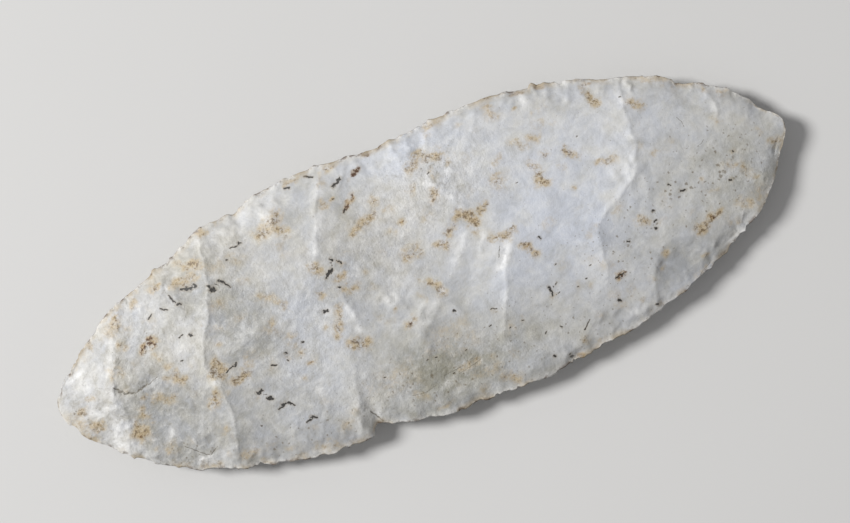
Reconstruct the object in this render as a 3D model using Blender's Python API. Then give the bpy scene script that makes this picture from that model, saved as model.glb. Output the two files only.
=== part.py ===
"""A bipointed blade of flaked stone, lying face up on its own underside.

Lengths are in metres. X runs from the blunt point to the sharp one, Y across the blade and Z up through it.
The origin lies on the resting plane, under the middle of the blade's length and width.
"""

import math
from collections import namedtuple

import bmesh
import bpy
import numpy as np

MM = 0.001

# The blank, which is a lens in section drawn out to two points.
LENGTH = 190.0 * MM
WIDTH = 69.0 * MM
THICKNESS = 9.8 * MM
UPPER_SHARE = 0.464
POINT_POWER = 2.35
SIDE_POWER = 1.70
SECTION_POWER = 1.60
BLUNT_DROP = 3.2 * MM
SHARP_DROP = 1.4 * MM

# The arrises, which are the ridges left where two flake scars meet.
ARRIS_HEIGHT = 1.0 * MM
ARRIS_SPREAD = 5.0 * MM
ARRIS_AT_EDGE = 0.35
WAVER = 0.9 * MM
WAVER_PITCH = 33.0 * MM

# The small scars of the retouch that sharpened the edge.
RETOUCH_PITCH = 4.6 * MM
RETOUCH_REACH = 5.0 * MM
RETOUCH_DEPTH = 0.40 * MM
BULB_SHARE = 0.30
PLATFORM_DEPTH = 0.65
EDGE_LOSS = 0.25 * MM
EDGE_WAVE = 0.5 * MM
EDGE_WAVE_PITCH = 24.0 * MM

# The underside, whose scars are plainer, and the low spots that the blade lies on.
UNDER_SCARS = 11
REST_CUT = 0.45 * MM

# The mesh before it is thinned out, about how many triangles are kept, how much finer its cells are toward the
# points and the edges, and how thin it gets inside the rim.
CELLS_ALONG = 400
CELLS_ACROSS = 84
TRIANGLES = 9600
CROWD_ALONG = 0.3
CROWD_ACROSS = 0.15
LEAST_HALF_THICKNESS = 0.05 * MM
RIM_SEARCH = 6.0 * MM
RIM_STEP = 0.1 * MM

# Places are shares of the half length and the half width, counted from the middle of the blade's axis.
# An arris runs along its path. Its height and its spreads to the left and right are shares of the sizes above,
# and it fades in and out over shares of its own length.
Arris = namedtuple("Arris", "path height left right fade_in fade_out")
FACE_ARRISES = [
    # The long arrises that cross the face, from the blunt point to the sharp one.
    Arris([(-0.82, 0.46), (-0.80, 0.29), (-0.81, 0.17), (-0.84, 0.06), (-0.85, -0.03)], 0.55, 1.2, 0.5, 0, 0.2),
    Arris([(-0.85, -0.03), (-0.86, -0.17), (-0.84, -0.31), (-0.87, -0.54)], 0.50, 1.0, 0.6, 0, 0),
    Arris(
        [(-0.49, 0.83), (-0.51, 0.63), (-0.53, 0.40), (-0.55, 0.20), (-0.58, 0.03), (-0.60, -0.14),
         (-0.59, -0.31), (-0.59, -0.51), (-0.60, -0.69), (-0.62, -0.91)],
        1.10, 1.5, 1.0, 0, 0,
    ),
    Arris(
        [(-0.13, 0.94), (-0.18, 0.71), (-0.20, 0.57), (-0.22, 0.43), (-0.24, 0.26), (-0.24, 0.11)],
        1.05, 1.5, 1.2, 0, 0.25,
    ),
    Arris([(-0.21, -0.34), (-0.25, -0.46), (-0.26, -0.63), (-0.27, -0.80), (-0.29, -1.03)], 0.45, 1.0, 0.8, 0.3, 0),
    Arris(
        [(0.03, -0.20), (0.00, -0.29), (-0.04, -0.37), (-0.07, -0.51), (-0.07, -0.71), (-0.08, -1.06)],
        0.60, 1.0, 1.0, 0.3, 0.5,
    ),
    Arris(
        [(0.24, -0.03), (0.20, -0.26), (0.18, -0.43), (0.16, -0.57), (0.14, -0.71), (0.13, -0.86), (0.14, -1.09)],
        0.95, 1.4, 1.1, 0.15, 0.45,
    ),
    Arris(
        [(0.65, 0.74), (0.64, 0.57), (0.63, 0.43), (0.62, 0.29), (0.61, 0.14), (0.59, 0.00), (0.53, -0.11),
         (0.47, -0.23), (0.45, -0.34), (0.44, -0.49), (0.43, -0.71), (0.45, -0.97)],
        1.05, 1.6, 1.5, 0, 0.2,
    ),
    # The shorter arrises between them, along the +Y edge.
    Arris([(-0.72, 0.60), (-0.71, 0.40), (-0.69, 0.23)], 0.30, 0.8, 0.5, 0, 0.5),
    Arris([(-0.63, 0.69), (-0.62, 0.49), (-0.61, 0.34), (-0.61, 0.11)], 0.40, 0.8, 0.5, 0, 0.5),
    Arris([(-0.35, 0.89), (-0.33, 0.77), (-0.31, 0.66), (-0.32, 0.46), (-0.32, 0.29)], 0.55, 1.0, 0.6, 0, 0.4),
    Arris([(0.03, 0.91), (0.06, 0.60), (0.09, 0.49), (0.13, 0.37), (0.16, 0.23)], 0.50, 1.2, 1.0, 0, 0.3),
    Arris([(0.29, 0.97), (0.28, 0.77), (0.27, 0.57)], 0.30, 1.0, 1.2, 0, 0.6),
    Arris([(0.36, 0.40), (0.37, 0.14), (0.37, 0.00), (0.32, -0.17)], 0.30, 1.0, 1.0, 0.5, 0.5),
    Arris([(0.47, 0.91), (0.45, 0.69), (0.43, 0.46)], 0.35, 1.0, 1.2, 0, 0.6),
    Arris([(0.83, 0.51), (0.85, 0.31), (0.85, 0.20)], 0.35, 0.8, 0.6, 0, 0.5),
    # Those along the -Y edge, the last around a scar above it.
    Arris([(-0.40, -0.60), (-0.43, -0.74), (-0.47, -0.89), (-0.49, -1.00)], 0.35, 0.8, 0.8, 0.5, 0),
    Arris([(-0.28, -0.51), (-0.32, -0.63), (-0.35, -0.77), (-0.39, -0.89), (-0.41, -1.03)], 0.45, 1.0, 0.6, 0.4, 0),
    Arris(
        [(0.53, -0.89), (0.55, -0.69), (0.59, -0.57), (0.63, -0.53), (0.67, -0.54), (0.71, -0.63), (0.73, -0.71)],
        0.45, 1.0, 0.4, 0, 0,
    ),
    # The hinge behind the blunt point, a low swell along the middle, and the ribs beside it.
    Arris([(-0.84, -0.03), (-0.81, -0.11), (-0.77, -0.10), (-0.72, -0.03)], 0.45, 0.9, 0.3, 0.3, 0.3),
    Arris([(-0.59, -0.17), (-0.47, -0.11), (-0.37, -0.09), (-0.31, 0.06), (-0.23, 0.17)], 0.55, 1.6, 1.6, 0.2, 0.2),
    Arris([(-0.22, 0.03), (-0.21, -0.14), (-0.21, -0.31)], 0.30, 0.5, 0.4, 0.3, 0.3),
    Arris([(0.95, -0.29), (0.84, -0.23), (0.74, -0.11)], 0.30, 1.6, 1.6, 0, 0.6),
]

# A scar starts at a place on the edge, on the +Y or -Y side, and runs inward, turned from straight across by
# some degrees. Its reach, width and depth are shares of the retouch's reach, pitch and depth.
Scar = namedtuple("Scar", "place side turn reach width depth ending")
FACE_SCARS = [
    Scar(-0.97, 1, 55, 1.8, 2.0, 0.4, 2.0),
    Scar(-0.98, -1, -70, 2.0, 2.0, 0.4, 3.0),
    Scar(-0.91, -1, -50, 2.4, 2.6, 0.9, 2.5),
    Scar(-0.70, -1, -30, 1.8, 2.4, 1.8, 3.0),
    Scar(-0.25, -1, -10, 1.4, 1.3, 1.2, 2.5),
    Scar(0.41, -1, 5, 1.4, 2.2, 1.5, 3.0),
    Scar(0.63, -1, -5, 2.2, 3.3, 1.1, 3.0),
    Scar(0.66, 1, -10, 1.0, 0.9, 1.0, 4.0),
]

# Where the edge stands out from the even curve or falls short of it, as a share of the half width there.
Swell = namedtuple("Swell", "place side amount spread")
EDGE_SWELLS = [
    Swell(-0.985, 1, 0.14, 0.020),
    Swell(-0.95, 1, -0.16, 0.12),
    Swell(-0.777, 1, 0.020, 0.02),
    Swell(-0.70, 1, -0.085, 0.11),
    Swell(-0.59, 1, -0.045, 0.03),
    Swell(-0.50, 1, 0.012, 0.04),
    Swell(-0.405, 1, -0.030, 0.018),
    Swell(-0.24, 1, 0.020, 0.07),
    Swell(0.01, 1, -0.045, 0.10),
    Swell(0.16, 1, 0.012, 0.03),
    Swell(0.38, 1, 0.050, 0.14),
    Swell(0.62, 1, -0.030, 0.05),
    Swell(0.735, 1, 0.035, 0.025),
    Swell(0.795, 1, -0.060, 0.022),
    Swell(0.83, 1, -0.020, 0.08),
    Swell(0.975, 1, -0.33, 0.040),
    Swell(-0.915, -1, -0.045, 0.025),
    Swell(-0.855, -1, -0.025, 0.015),
    Swell(-0.82, -1, 0.025, 0.05),
    Swell(-0.70, -1, 0.040, 0.08),
    Swell(-0.25, -1, -0.076, 0.021),
    Swell(-0.20, -1, -0.070, 0.05),
    Swell(-0.115, -1, -0.020, 0.03),
    Swell(0.20, -1, 0.033, 0.08),
    Swell(0.50, -1, 0.030, 0.16),
    Swell(0.63, -1, 0.040, 0.05),
    Swell(0.79, -1, -0.025, 0.03),
    Swell(0.86, -1, 0.025, 0.025),
    Swell(0.957, -1, -0.23, 0.028),
    Swell(1.0, -1, -0.40, 0.022),
]


def half_length():
    """Half the blank's length, with what the retouch takes off."""
    return LENGTH / 2 + EDGE_LOSS


def half_width(side):
    """The blank's greatest half width above the axis (1) or below it (-1), with what the retouch takes off."""
    share = np.where(np.asarray(side) > 0, UPPER_SHARE, 1 - UPPER_SHARE)
    return WIDTH * share + EDGE_LOSS


def axis_y(x):
    """The axis falls toward -Y at the blunt point, and a little at the sharp one."""
    share = x / half_length()
    return -BLUNT_DROP / 2 * (1 - share) - SHARP_DROP * ease((share - 0.6) / 0.4)


def edge_factor(x, side):
    """How far the edge stands out or falls short at x, as a factor of the half width."""
    place = x / half_length()
    factor = np.ones_like(place)
    for swell in EDGE_SWELLS:
        here = np.sign(side) == swell.side
        factor += here * swell.amount * np.exp(-(((place - swell.place) / swell.spread) ** 2))
    return factor


def edge_y(x, side):
    """The blank's edge at x."""
    u = np.clip(np.abs(x) / half_length(), 0, 1)
    plain = half_width(side) * (1 - u**POINT_POWER) ** (1 / SIDE_POWER)
    return axis_y(x) + side * plain * edge_factor(x, side)


def blank_height(x, y):
    """Half the blank's thickness, which is zero along its edge and negative outside it."""
    across = y - axis_y(x)
    side = np.where(across > 0, 1, -1)
    reach = half_width(side) * edge_factor(x, side)
    fullness = (np.abs(x) / half_length()) ** POINT_POWER + (np.abs(across) / reach) ** SIDE_POWER
    return THICKNESS / 2 * (1 - fullness**SECTION_POWER)


def waver(x, y):
    """Moves points a little, so that arrises and scars don't run too evenly."""
    rng = np.random.default_rng(11)
    moved_x, moved_y = x.copy(), y.copy()
    for octave in range(3):
        size = WAVER / 2**octave
        turns = 2 * math.pi * 2.2**octave / WAVER_PITCH
        for moved in (moved_x, moved_y):
            way, phase = rng.uniform(0, 2 * math.pi, 2)
            moved += size * np.sin(turns * (x * math.cos(way) + y * math.sin(way)) + phase)
    return moved_x, moved_y


def ease(share):
    """Goes from 0 to 1 with no corner at either end."""
    share = np.clip(share, 0, 1)
    return share**2 * (3 - 2 * share)


def smooth_path(points, steps=5):
    """A Catmull-Rom curve through the points."""
    points = np.array(points)
    points = np.vstack([2 * points[0] - points[1], points, 2 * points[-1] - points[-2]])
    path = []
    for a, b, c, d in zip(points, points[1:], points[2:], points[3:]):
        for step in range(steps):
            t = step / steps
            path.append(b + 0.5 * t * (c - a + t * (2 * a - 5 * b + 4 * c - d + t * (3 * (b - c) + d - a))))
    path.append(points[-2])
    return np.array(path)


def arris_height(arris, x, y):
    """The height an arris adds: sharp along its path and hollow down both sides."""
    path = smooth_path(arris.path) * [LENGTH / 2, WIDTH / 2]
    reach = 6 * ARRIS_SPREAD * max(arris.left, arris.right)
    low, high = path.min(axis=0) - reach, path.max(axis=0) + reach
    near = (x > low[0]) & (x < high[0]) & (y > low[1]) & (y < high[1])
    height = np.zeros_like(x)
    height[near] = height_beside(arris, path, x[near], y[near])
    return height


def height_beside(arris, path, x, y):
    """The arris's height at points beside its path: the most that any stretch of the path gives."""
    height = np.zeros_like(x)
    for index, (start, end) in enumerate(zip(path, path[1:])):
        run = end - start
        t = np.clip(((x - start[0]) * run[0] + (y - start[1]) * run[1]) / (run @ run), 0, 1)
        off_x, off_y = x - start[0] - t * run[0], y - start[1] - t * run[1]
        distance = np.hypot(off_x, off_y) + 1e-9
        to_left = (1 + (run[0] * off_y - run[1] * off_x) / np.hypot(*run) / distance) / 2
        spread = ARRIS_SPREAD * (arris.left * to_left + arris.right * (1 - to_left))
        along = (index + t) / (len(path) - 1)
        strength = np.ones_like(x)
        if arris.fade_in:
            strength *= ease(along / arris.fade_in)
        if arris.fade_out:
            strength *= ease((1 - along) / arris.fade_out)
        height = np.maximum(height, strength * np.exp(-distance / spread))
    return ARRIS_HEIGHT * arris.height * height


def scar_depth(scar, x, y):
    """How deep a scar cuts: deepest at its bulb, just in from the edge, then running out, and hollow across."""
    start_x = scar.place * half_length()
    start_y = float(edge_y(np.array([start_x]), scar.side)[0])
    heading = math.radians(scar.turn - 90 * scar.side)
    run = (x - start_x) * math.cos(heading) + (y - start_y) * math.sin(heading)
    off = (y - start_y) * math.cos(heading) - (x - start_x) * math.sin(heading)
    share = run / (scar.reach * RETOUCH_REACH)
    lead = ease(share / BULB_SHARE)
    fade = np.maximum(share - BULB_SHARE, 0) / (1 - BULB_SHARE)
    floor = PLATFORM_DEPTH + (1 - PLATFORM_DEPTH) * lead
    half = scar.width * RETOUCH_PITCH / 2 * (0.85 + 0.15 * lead)
    return scar.depth * RETOUCH_DEPTH * (floor - fade**scar.ending - np.abs(off / half) ** 2.2)


def retouch_scars(seed):
    """Small scars along both sides of one face, each struck about square to the edge."""
    rng = np.random.default_rng(seed)
    scars = []
    for side in (1, -1):
        x = -0.985 * LENGTH / 2
        while x < 0.985 * LENGTH / 2:
            here = 1 - 0.5 * (2 * abs(x) / LENGTH) ** 4
            step = here * rng.uniform(0.5, 1.5)
            ends = edge_y(np.array([x - MM, x + MM]), side)
            slope = math.degrees(math.atan2(ends[1] - ends[0], 2 * MM))
            turn = slope + rng.uniform(-16, 16)
            reach, width, depth = rng.uniform(0.5, 1.5), step * rng.uniform(1.2, 1.9), rng.uniform(0.5, 1.4)
            scars.append(Scar(x / half_length(), side, turn, here * reach, width, here * depth, 2.0))
            x += step * RETOUCH_PITCH
    return scars


def under_arrises():
    """The plainer arrises of the underside, struck from each edge in turn."""
    rng = np.random.default_rng(4)
    arrises = []
    for index in range(UNDER_SCARS):
        side = 1 if index % 2 else -1
        place = -0.85 + 1.7 * (index + rng.uniform(0.2, 0.8)) / UNDER_SCARS
        lean = rng.uniform(-0.10, 0.02) * side
        far = rng.uniform(-0.5, 0.1)
        path = []
        for share in (0, 0.33, 0.67, 1):
            across = side * (1 + (far - 1) * share)
            path.append((place + lean * share * 2 + rng.uniform(-0.02, 0.02), across))
        arrises.append(Arris(path, rng.uniform(0.6, 1.0), rng.uniform(0.8, 1.4), rng.uniform(0.8, 1.4), 0, 0.3))
    return arrises


def edge_wave(x, y):
    """How far the edge weaves up and down, because it was struck from both faces in turn."""
    turns = 2 * math.pi / EDGE_WAVE_PITCH
    across = (y - axis_y(x)) / WIDTH
    return EDGE_WAVE * (0.7 * np.sin(turns * x + 3 * across) + 0.3 * np.sin(2.3 * turns * x + 5 * across + 1))


def face_relief(x, y, arrises, scars, facing):
    """The height of one face, facing up (1) or down (-1), above the blade's middle plane."""
    blank = blank_height(x, y)
    inward = np.clip(blank / (0.3 * THICKNESS / 2), 0, 1)
    strength = ARRIS_AT_EDGE + (1 - ARRIS_AT_EDGE) * inward
    weave = facing * edge_wave(x, y) * (1 - inward) ** 2
    moved_x, moved_y = waver(x, y)
    half_x, half_y = (x + moved_x) / 2, (y + moved_y) / 2
    raised = sum(arris_height(arris, half_x, half_y) for arris in arrises)
    cut = np.zeros_like(x)
    for scar in scars:
        cut = np.maximum(cut, scar_depth(scar, moved_x, moved_y))
    return blank + weave + strength * raised - cut


def point_x(toward, thickness):
    """Where the blade's point is, found by walking inward along the axis to where both faces meet."""
    x = toward * (half_length() - np.arange(0, RIM_SEARCH, RIM_STEP / 10))
    return x[np.argmax(thickness(x, axis_y(x)) > 0)]


def rim(x, side, thickness):
    """The edge at x, found by walking inward from outside the blank to where both faces meet."""
    outside, axis = edge_y(x, side), axis_y(x)
    depth = np.minimum(RIM_SEARCH, np.abs(outside - axis))
    walk = np.linspace(-0.5, 1, round(1.5 * RIM_SEARCH / RIM_STEP))
    y = outside[:, None] - side * depth[:, None] * walk
    through = thickness(np.repeat(x[:, None], len(walk), axis=1), y)
    inside = len(walk) - 1 - np.argmax(through[:, ::-1] <= 0, axis=1)
    row, after = np.arange(len(x)), np.minimum(inside + 1, len(walk) - 1)
    share = through[row, inside] / (through[row, inside] - through[row, after] - 1e-12)
    return y[row, inside] + share * (y[row, after] - y[row, inside])


def crowd(share, amount):
    """Moves shares from -1 to 1 toward both ends, so that the cells are finer there."""
    return share * (1 + amount * (1 - share**2))


def outline(thickness):
    """Columns along the blade, with the edge on both sides of each."""
    ends = [point_x(-1, thickness), point_x(1, thickness)]
    share = np.linspace(-1, 1, 2 * CELLS_ALONG + 1)
    columns = (ends[0] + ends[1]) / 2 + (ends[1] - ends[0]) / 2 * crowd(share, CROWD_ALONG)
    low, high = rim(columns[1:-1], -1, thickness), rim(columns[1:-1], 1, thickness)
    tips = axis_y(np.array(ends))
    low, high = np.concatenate([tips[:1], low, tips[1:]]), np.concatenate([tips[:1], high, tips[1:]])
    return share, columns, low, high


def add_sheet(bm, edges, face, other, sign):
    """One face of the blade: a grid spread between the edges and lifted to the face's relief."""
    made = bmesh.ops.create_grid(bm, x_segments=CELLS_ALONG, y_segments=CELLS_ACROSS, size=1)["verts"]
    along, across = np.array([vertex.co[:2] for vertex in made]).T
    share, columns, low, high = edges
    x = np.interp(along, share, columns)
    bottom, top = np.interp(along, share, low), np.interp(along, share, high)
    y = (top + bottom) / 2 + (top - bottom) / 2 * crowd(across, CROWD_ACROSS)
    mine, theirs = face(x, y), other(x, y)
    border = np.maximum(np.abs(along), np.abs(across))
    inward = np.clip((1 - border) * CELLS_ACROSS / 2, 0, 1)
    half = np.maximum((mine + theirs) / 2, LEAST_HALF_THICKNESS * inward)
    half = np.where(border > 1 - 1e-6, 0, half)
    middle = sign * (mine - theirs) / 2
    z = middle + sign * half
    for vertex, place in zip(made, np.round(np.column_stack([x, y, z]) / MM, 4) * MM):
        vertex.co = place
    return made


def blade_mesh():
    """The whole blade as one closed mesh, in its own frame and before it is thinned out."""
    face_scars = FACE_SCARS + retouch_scars(3)
    under_scars = retouch_scars(5)
    hidden_arrises = under_arrises()

    def face(x, y):
        return face_relief(x, y, FACE_ARRISES, face_scars, 1)

    def under(x, y):
        return face_relief(x, y, hidden_arrises, under_scars, -1)

    edges = outline(lambda x, y: face(x, y) + under(x, y))
    bm = bmesh.new()
    add_sheet(bm, edges, face, under, 1)
    add_sheet(bm, edges, under, face, -1)
    bmesh.ops.remove_doubles(bm, verts=bm.verts, dist=0.001 * MM)
    bmesh.ops.recalc_face_normals(bm, faces=bm.faces)
    bmesh.ops.triangulate(bm, faces=bm.faces)

    places = np.array([vertex.co for vertex in bm.verts])
    low, high = places.min(axis=0), places.max(axis=0)
    middle = (low + high) / 2
    bmesh.ops.translate(bm, verts=bm.verts, vec=(-middle[0], -middle[1], -low[2] - REST_CUT))
    mesh = bpy.data.meshes.new("bipointed_blade")
    bm.to_mesh(mesh)
    bm.free()
    return mesh


def stone_material():
    """White-patinated chert, satin where the flakes came away."""
    material = bpy.data.materials.new("white_patinated_chert")
    material.use_nodes = True
    shader = material.node_tree.nodes["Principled BSDF"]
    shader.inputs["Base Color"].default_value = (0.58, 0.57, 0.55, 1)
    shader.inputs["Roughness"].default_value = 0.5
    shader.inputs["Metallic"].default_value = 0.0
    return material


def resting_cutter(collection):
    """A slab under the resting plane, which cuts the low spots flat."""
    mesh = bpy.data.meshes.new("resting_cutter")
    bm = bmesh.new()
    bmesh.ops.create_cube(bm, size=1)
    bm.to_mesh(mesh)
    bm.free()
    cutter = bpy.data.objects.new("resting_cutter", mesh)
    cutter.scale = (1.2 * LENGTH, 1.2 * WIDTH, THICKNESS)
    cutter.location = (0, 0, -THICKNESS / 2)
    cutter.hide_render = True
    cutter.display_type = "WIRE"
    collection.objects.link(cutter)
    return cutter


def new_collection(name):
    collection = bpy.data.collections.new(name)
    bpy.context.scene.collection.children.link(collection)
    return collection


def main():
    for obj in list(bpy.data.objects):
        bpy.data.objects.remove(obj)
    blade = bpy.data.objects.new("bipointed_blade", blade_mesh())
    blade.data.materials.append(stone_material())
    new_collection("bipointed_blade").objects.link(blade)

    thin_out = blade.modifiers.new("thin_out", "DECIMATE")
    thin_out.ratio = TRIANGLES / (4 * CELLS_ALONG * CELLS_ACROSS)
    rest = blade.modifiers.new("rest", "BOOLEAN")
    rest.operation = "DIFFERENCE"
    rest.object = resting_cutter(new_collection("cutters"))
    blade.data.shade_smooth()
    blade.data.set_sharp_from_angle(angle=math.radians(12))


main()
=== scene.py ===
"""The looks of a bipointed blade of white-patinated chert, which lies face up on its own underside.

Lengths are in metres. X runs from the blunt point to the sharp one, Y across the blade and Z up through it.
The origin lies on the resting plane, under the middle of the blade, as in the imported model.
"""

import math
from collections import namedtuple

import bmesh
import bpy
import numpy as np
from mathutils import Euler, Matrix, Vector


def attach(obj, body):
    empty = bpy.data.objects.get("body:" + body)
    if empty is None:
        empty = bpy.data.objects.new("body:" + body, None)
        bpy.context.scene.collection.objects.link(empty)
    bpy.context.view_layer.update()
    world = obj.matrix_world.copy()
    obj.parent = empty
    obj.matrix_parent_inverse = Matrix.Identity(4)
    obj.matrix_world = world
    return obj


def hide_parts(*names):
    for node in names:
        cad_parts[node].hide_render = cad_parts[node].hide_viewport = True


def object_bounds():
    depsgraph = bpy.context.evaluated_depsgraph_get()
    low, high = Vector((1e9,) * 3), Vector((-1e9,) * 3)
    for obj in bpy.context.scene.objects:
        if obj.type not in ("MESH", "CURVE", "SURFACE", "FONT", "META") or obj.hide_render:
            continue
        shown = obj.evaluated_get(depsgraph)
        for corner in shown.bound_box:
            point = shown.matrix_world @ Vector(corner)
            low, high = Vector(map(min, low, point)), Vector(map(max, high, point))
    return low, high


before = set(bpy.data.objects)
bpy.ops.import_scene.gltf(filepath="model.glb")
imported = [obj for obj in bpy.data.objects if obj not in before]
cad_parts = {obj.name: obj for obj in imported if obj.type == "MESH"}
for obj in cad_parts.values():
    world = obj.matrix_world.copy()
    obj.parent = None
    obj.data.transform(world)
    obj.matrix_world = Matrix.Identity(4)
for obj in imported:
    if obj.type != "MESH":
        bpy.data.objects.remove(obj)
cad_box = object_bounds()

MM = 0.001

# The blank, which is a lens in section drawn out to two points. These sizes and tables are the part's own.
LENGTH = 190.0 * MM
WIDTH = 69.0 * MM
THICKNESS = 9.8 * MM
UPPER_SHARE = 0.464
POINT_POWER = 2.35
SIDE_POWER = 1.70
SECTION_POWER = 1.60
BLUNT_DROP = 3.2 * MM
SHARP_DROP = 1.4 * MM
# The axis starts to drop toward the sharp point at this share of the half length.
DROP_START = 0.6

# The arrises, which are the ridges left where two flake scars meet. Handling has worn their crests a little.
ARRIS_HEIGHT = 1.0 * MM
ARRIS_SPREAD = 5.0 * MM
ARRIS_AT_EDGE = 0.35
CREST_WEAR = 0.05 * MM
# The crest band is wider on a path's right, the lit side; its whitening there is partly a painted highlight.
CREST_LEFT = 0.3 * MM
CREST_RIGHT = 0.9 * MM
CREST_RISE = 0.10 * MM
# The edge is thin up to this share of the half thickness: there the arrises are lower, and the edge weaves.
THIN_SHARE = 0.3

# How far arrises and stains stray from their paths, as a share of the length of each wave in millimetres.
ARRIS_FRAY = 0.06
STAIN_FRAY = 0.06
FRAY_WAVES = (5.0, 3.4, 2.3, 1.6)
# How far stains spread, as a factor of their reaches.
STAIN_SPREAD = 1.3
# Arrises and scars also waver on longer waves, each half as high as the last and this much shorter.
WAVER = 0.9 * MM
WAVER_PITCH = 33.0 * MM
WAVER_STEP = 2.2
WAVER_COUNT = 3

# The small scars of the retouch that sharpened the edge, narrower and shallower at the platform on the edge
# than at the bulb inside it, and a finer row of nicks as a share of their size.
RETOUCH_PITCH = 4.6 * MM
RETOUCH_REACH = 5.0 * MM
RETOUCH_DEPTH = 0.40 * MM
RETOUCH_SPAN = 0.985
BULB_SHARE = 0.30
PLATFORM_DEPTH = 0.65
PLATFORM_WIDTH = 0.85
BULB_WIDENING = 0.15
HOLLOW_POWER = 2.2
NICK_SHARE = 0.40
EDGE_LOSS = 0.25 * MM
# The scars shrink toward the points by this share. The ranges are those of their steps, turns in degrees,
# reaches, widths and depths.
POINT_SHRINK = 0.5
RETOUCH_STEP = (0.5, 1.5)
RETOUCH_TURN = (-16, 16)
REACH_RANGE = (0.5, 1.5)
WIDTH_RANGE = (1.2, 1.9)
DEPTH_RANGE = (0.5, 1.4)
RETOUCH_ENDING = 2.0
# The edge weaves on two waves, each with its share of the height, its turns, its lean across and its phase.
EDGE_WAVE = 0.5 * MM
EDGE_WAVE_PITCH = 24.0 * MM
EDGE_WAVES = ((0.7, 1, 3, 0), (0.3, 2.3, 5, 1))

# The underside, whose scars are plainer, and the low spots that the blade lies on. Its arrises stand over
# this span of the half length. The ranges are for their places, leans, ends, bends, heights and spreads.
UNDER_SCARS = 11
UNDER_SPAN = 1.7
UNDER_PLACE = (0.2, 0.8)
UNDER_LEAN = (-0.10, 0.02)
UNDER_FAR = (-0.5, 0.1)
UNDER_BEND = (-0.02, 0.02)
UNDER_HEIGHT = (0.6, 1.0)
UNDER_SPREAD = (0.8, 1.4)
UNDER_FADE = 0.3
REST_CUT = 0.45 * MM

# The mesh. The underside has half as many cells each way.
CELLS_ALONG = 520
CELLS_ACROSS = 132
LEAST_HALF_THICKNESS = 0.05 * MM
RIM_SEARCH = 6.0 * MM
RIM_STEP = 0.1 * MM
RIM_OUTSIDE = 0.5
CROWD_ALONG = 0.3
CROWD_ACROSS = 0.15

# The skin's fine relief, which a node tree adds. It fades in over the margin, in millimetres from the edge.
SKIN_SIZES = {
    "Lump size": 9.0 * MM,
    "Lump height": 0.10 * MM,
    "Pit spacing": 2.6 * MM,
    "Pit depth": 0.05 * MM,
    "Edge margin": 2.0,
    "Seed": 3.0,
}

# A drawn line's offset grows this fast past this distance, both as factors of its width, up to far away.
LINE_REACH = 0.8
LINE_RISE = 4
FAR = 99.0
# A ridge is worked out as far away as this many of its spreads, and a stain as this many of its reaches.
SPREADS_OUT = 6
REACHES_OUT = 3

# The underside's marks, and where the blade's points are, in millimetres from its middle. The ranges are
# those of the marks' places, lengths, widths or reaches, and strengths.
UNDER_DENDRITES = 16
UNDER_STAINS = 70
UNDER_RUST = 8
POINTS_AT = 95
ANY_WAY = (0, math.pi)
LINE_PLACE = (-80, 80), (-24, 24)
LINE_LONG = (0.3, 1.6)
LINE_WIDTH = (0.6, 1.4)
SPOT_PLACE = (-88, 88), (-30, 28)
SPOT_LONG = (0, 3)
SPOT_REACH = (0.8, 1.8)
SPOT_STRENGTH = (0.4, 0.95)
RUST_SHARE = 0.5
RUST_STRENGTH = 0.7

# The seeds of the random draws. The retouch's are for the scars and nicks of the face and of the underside.
WAVER_SEED = 11
FRAY_SEED = 8
RIDGE_SEED = 21
UNDER_SEED = 4
UNDER_MARKS_SEED = 12
RETOUCH_SEEDS = ((3, 6), (5, 7))

# A broad soft light, by the way it stands from the blade, and a pale surround.
KEY_WAY = (-0.87, 0.49, 0)
KEY_RISE = 39
KEY_SIZE = 0.7
KEY_DISTANCE = 2.2
KEY_POWER = 51.0
SURROUND = 0.32
FLOOR_REACH = 3

# The camera looks straight down, turned so that the sharp point rises to the right as in the photograph. Its
# lens and its sensor are in millimetres.
LENS = 100
SENSOR = 36
NEAREST_SEEN = 0.01
VIEW_WIDTH = 206.7 * MM
VIEW_MIDDLE = (1.2 * MM, 2.56 * MM)
FACE_HEIGHT = 8 * MM
CAMERA_TURN = -21.08


def marks(kind, rows):
    """Marks of one kind from flat rows: its own numbers first, then x and y of each point of its path."""
    own = len(kind._fields) - 1
    return [kind(*row[:own], list(zip(row[own::2], row[own + 1 :: 2]))) for row in rows]


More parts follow.
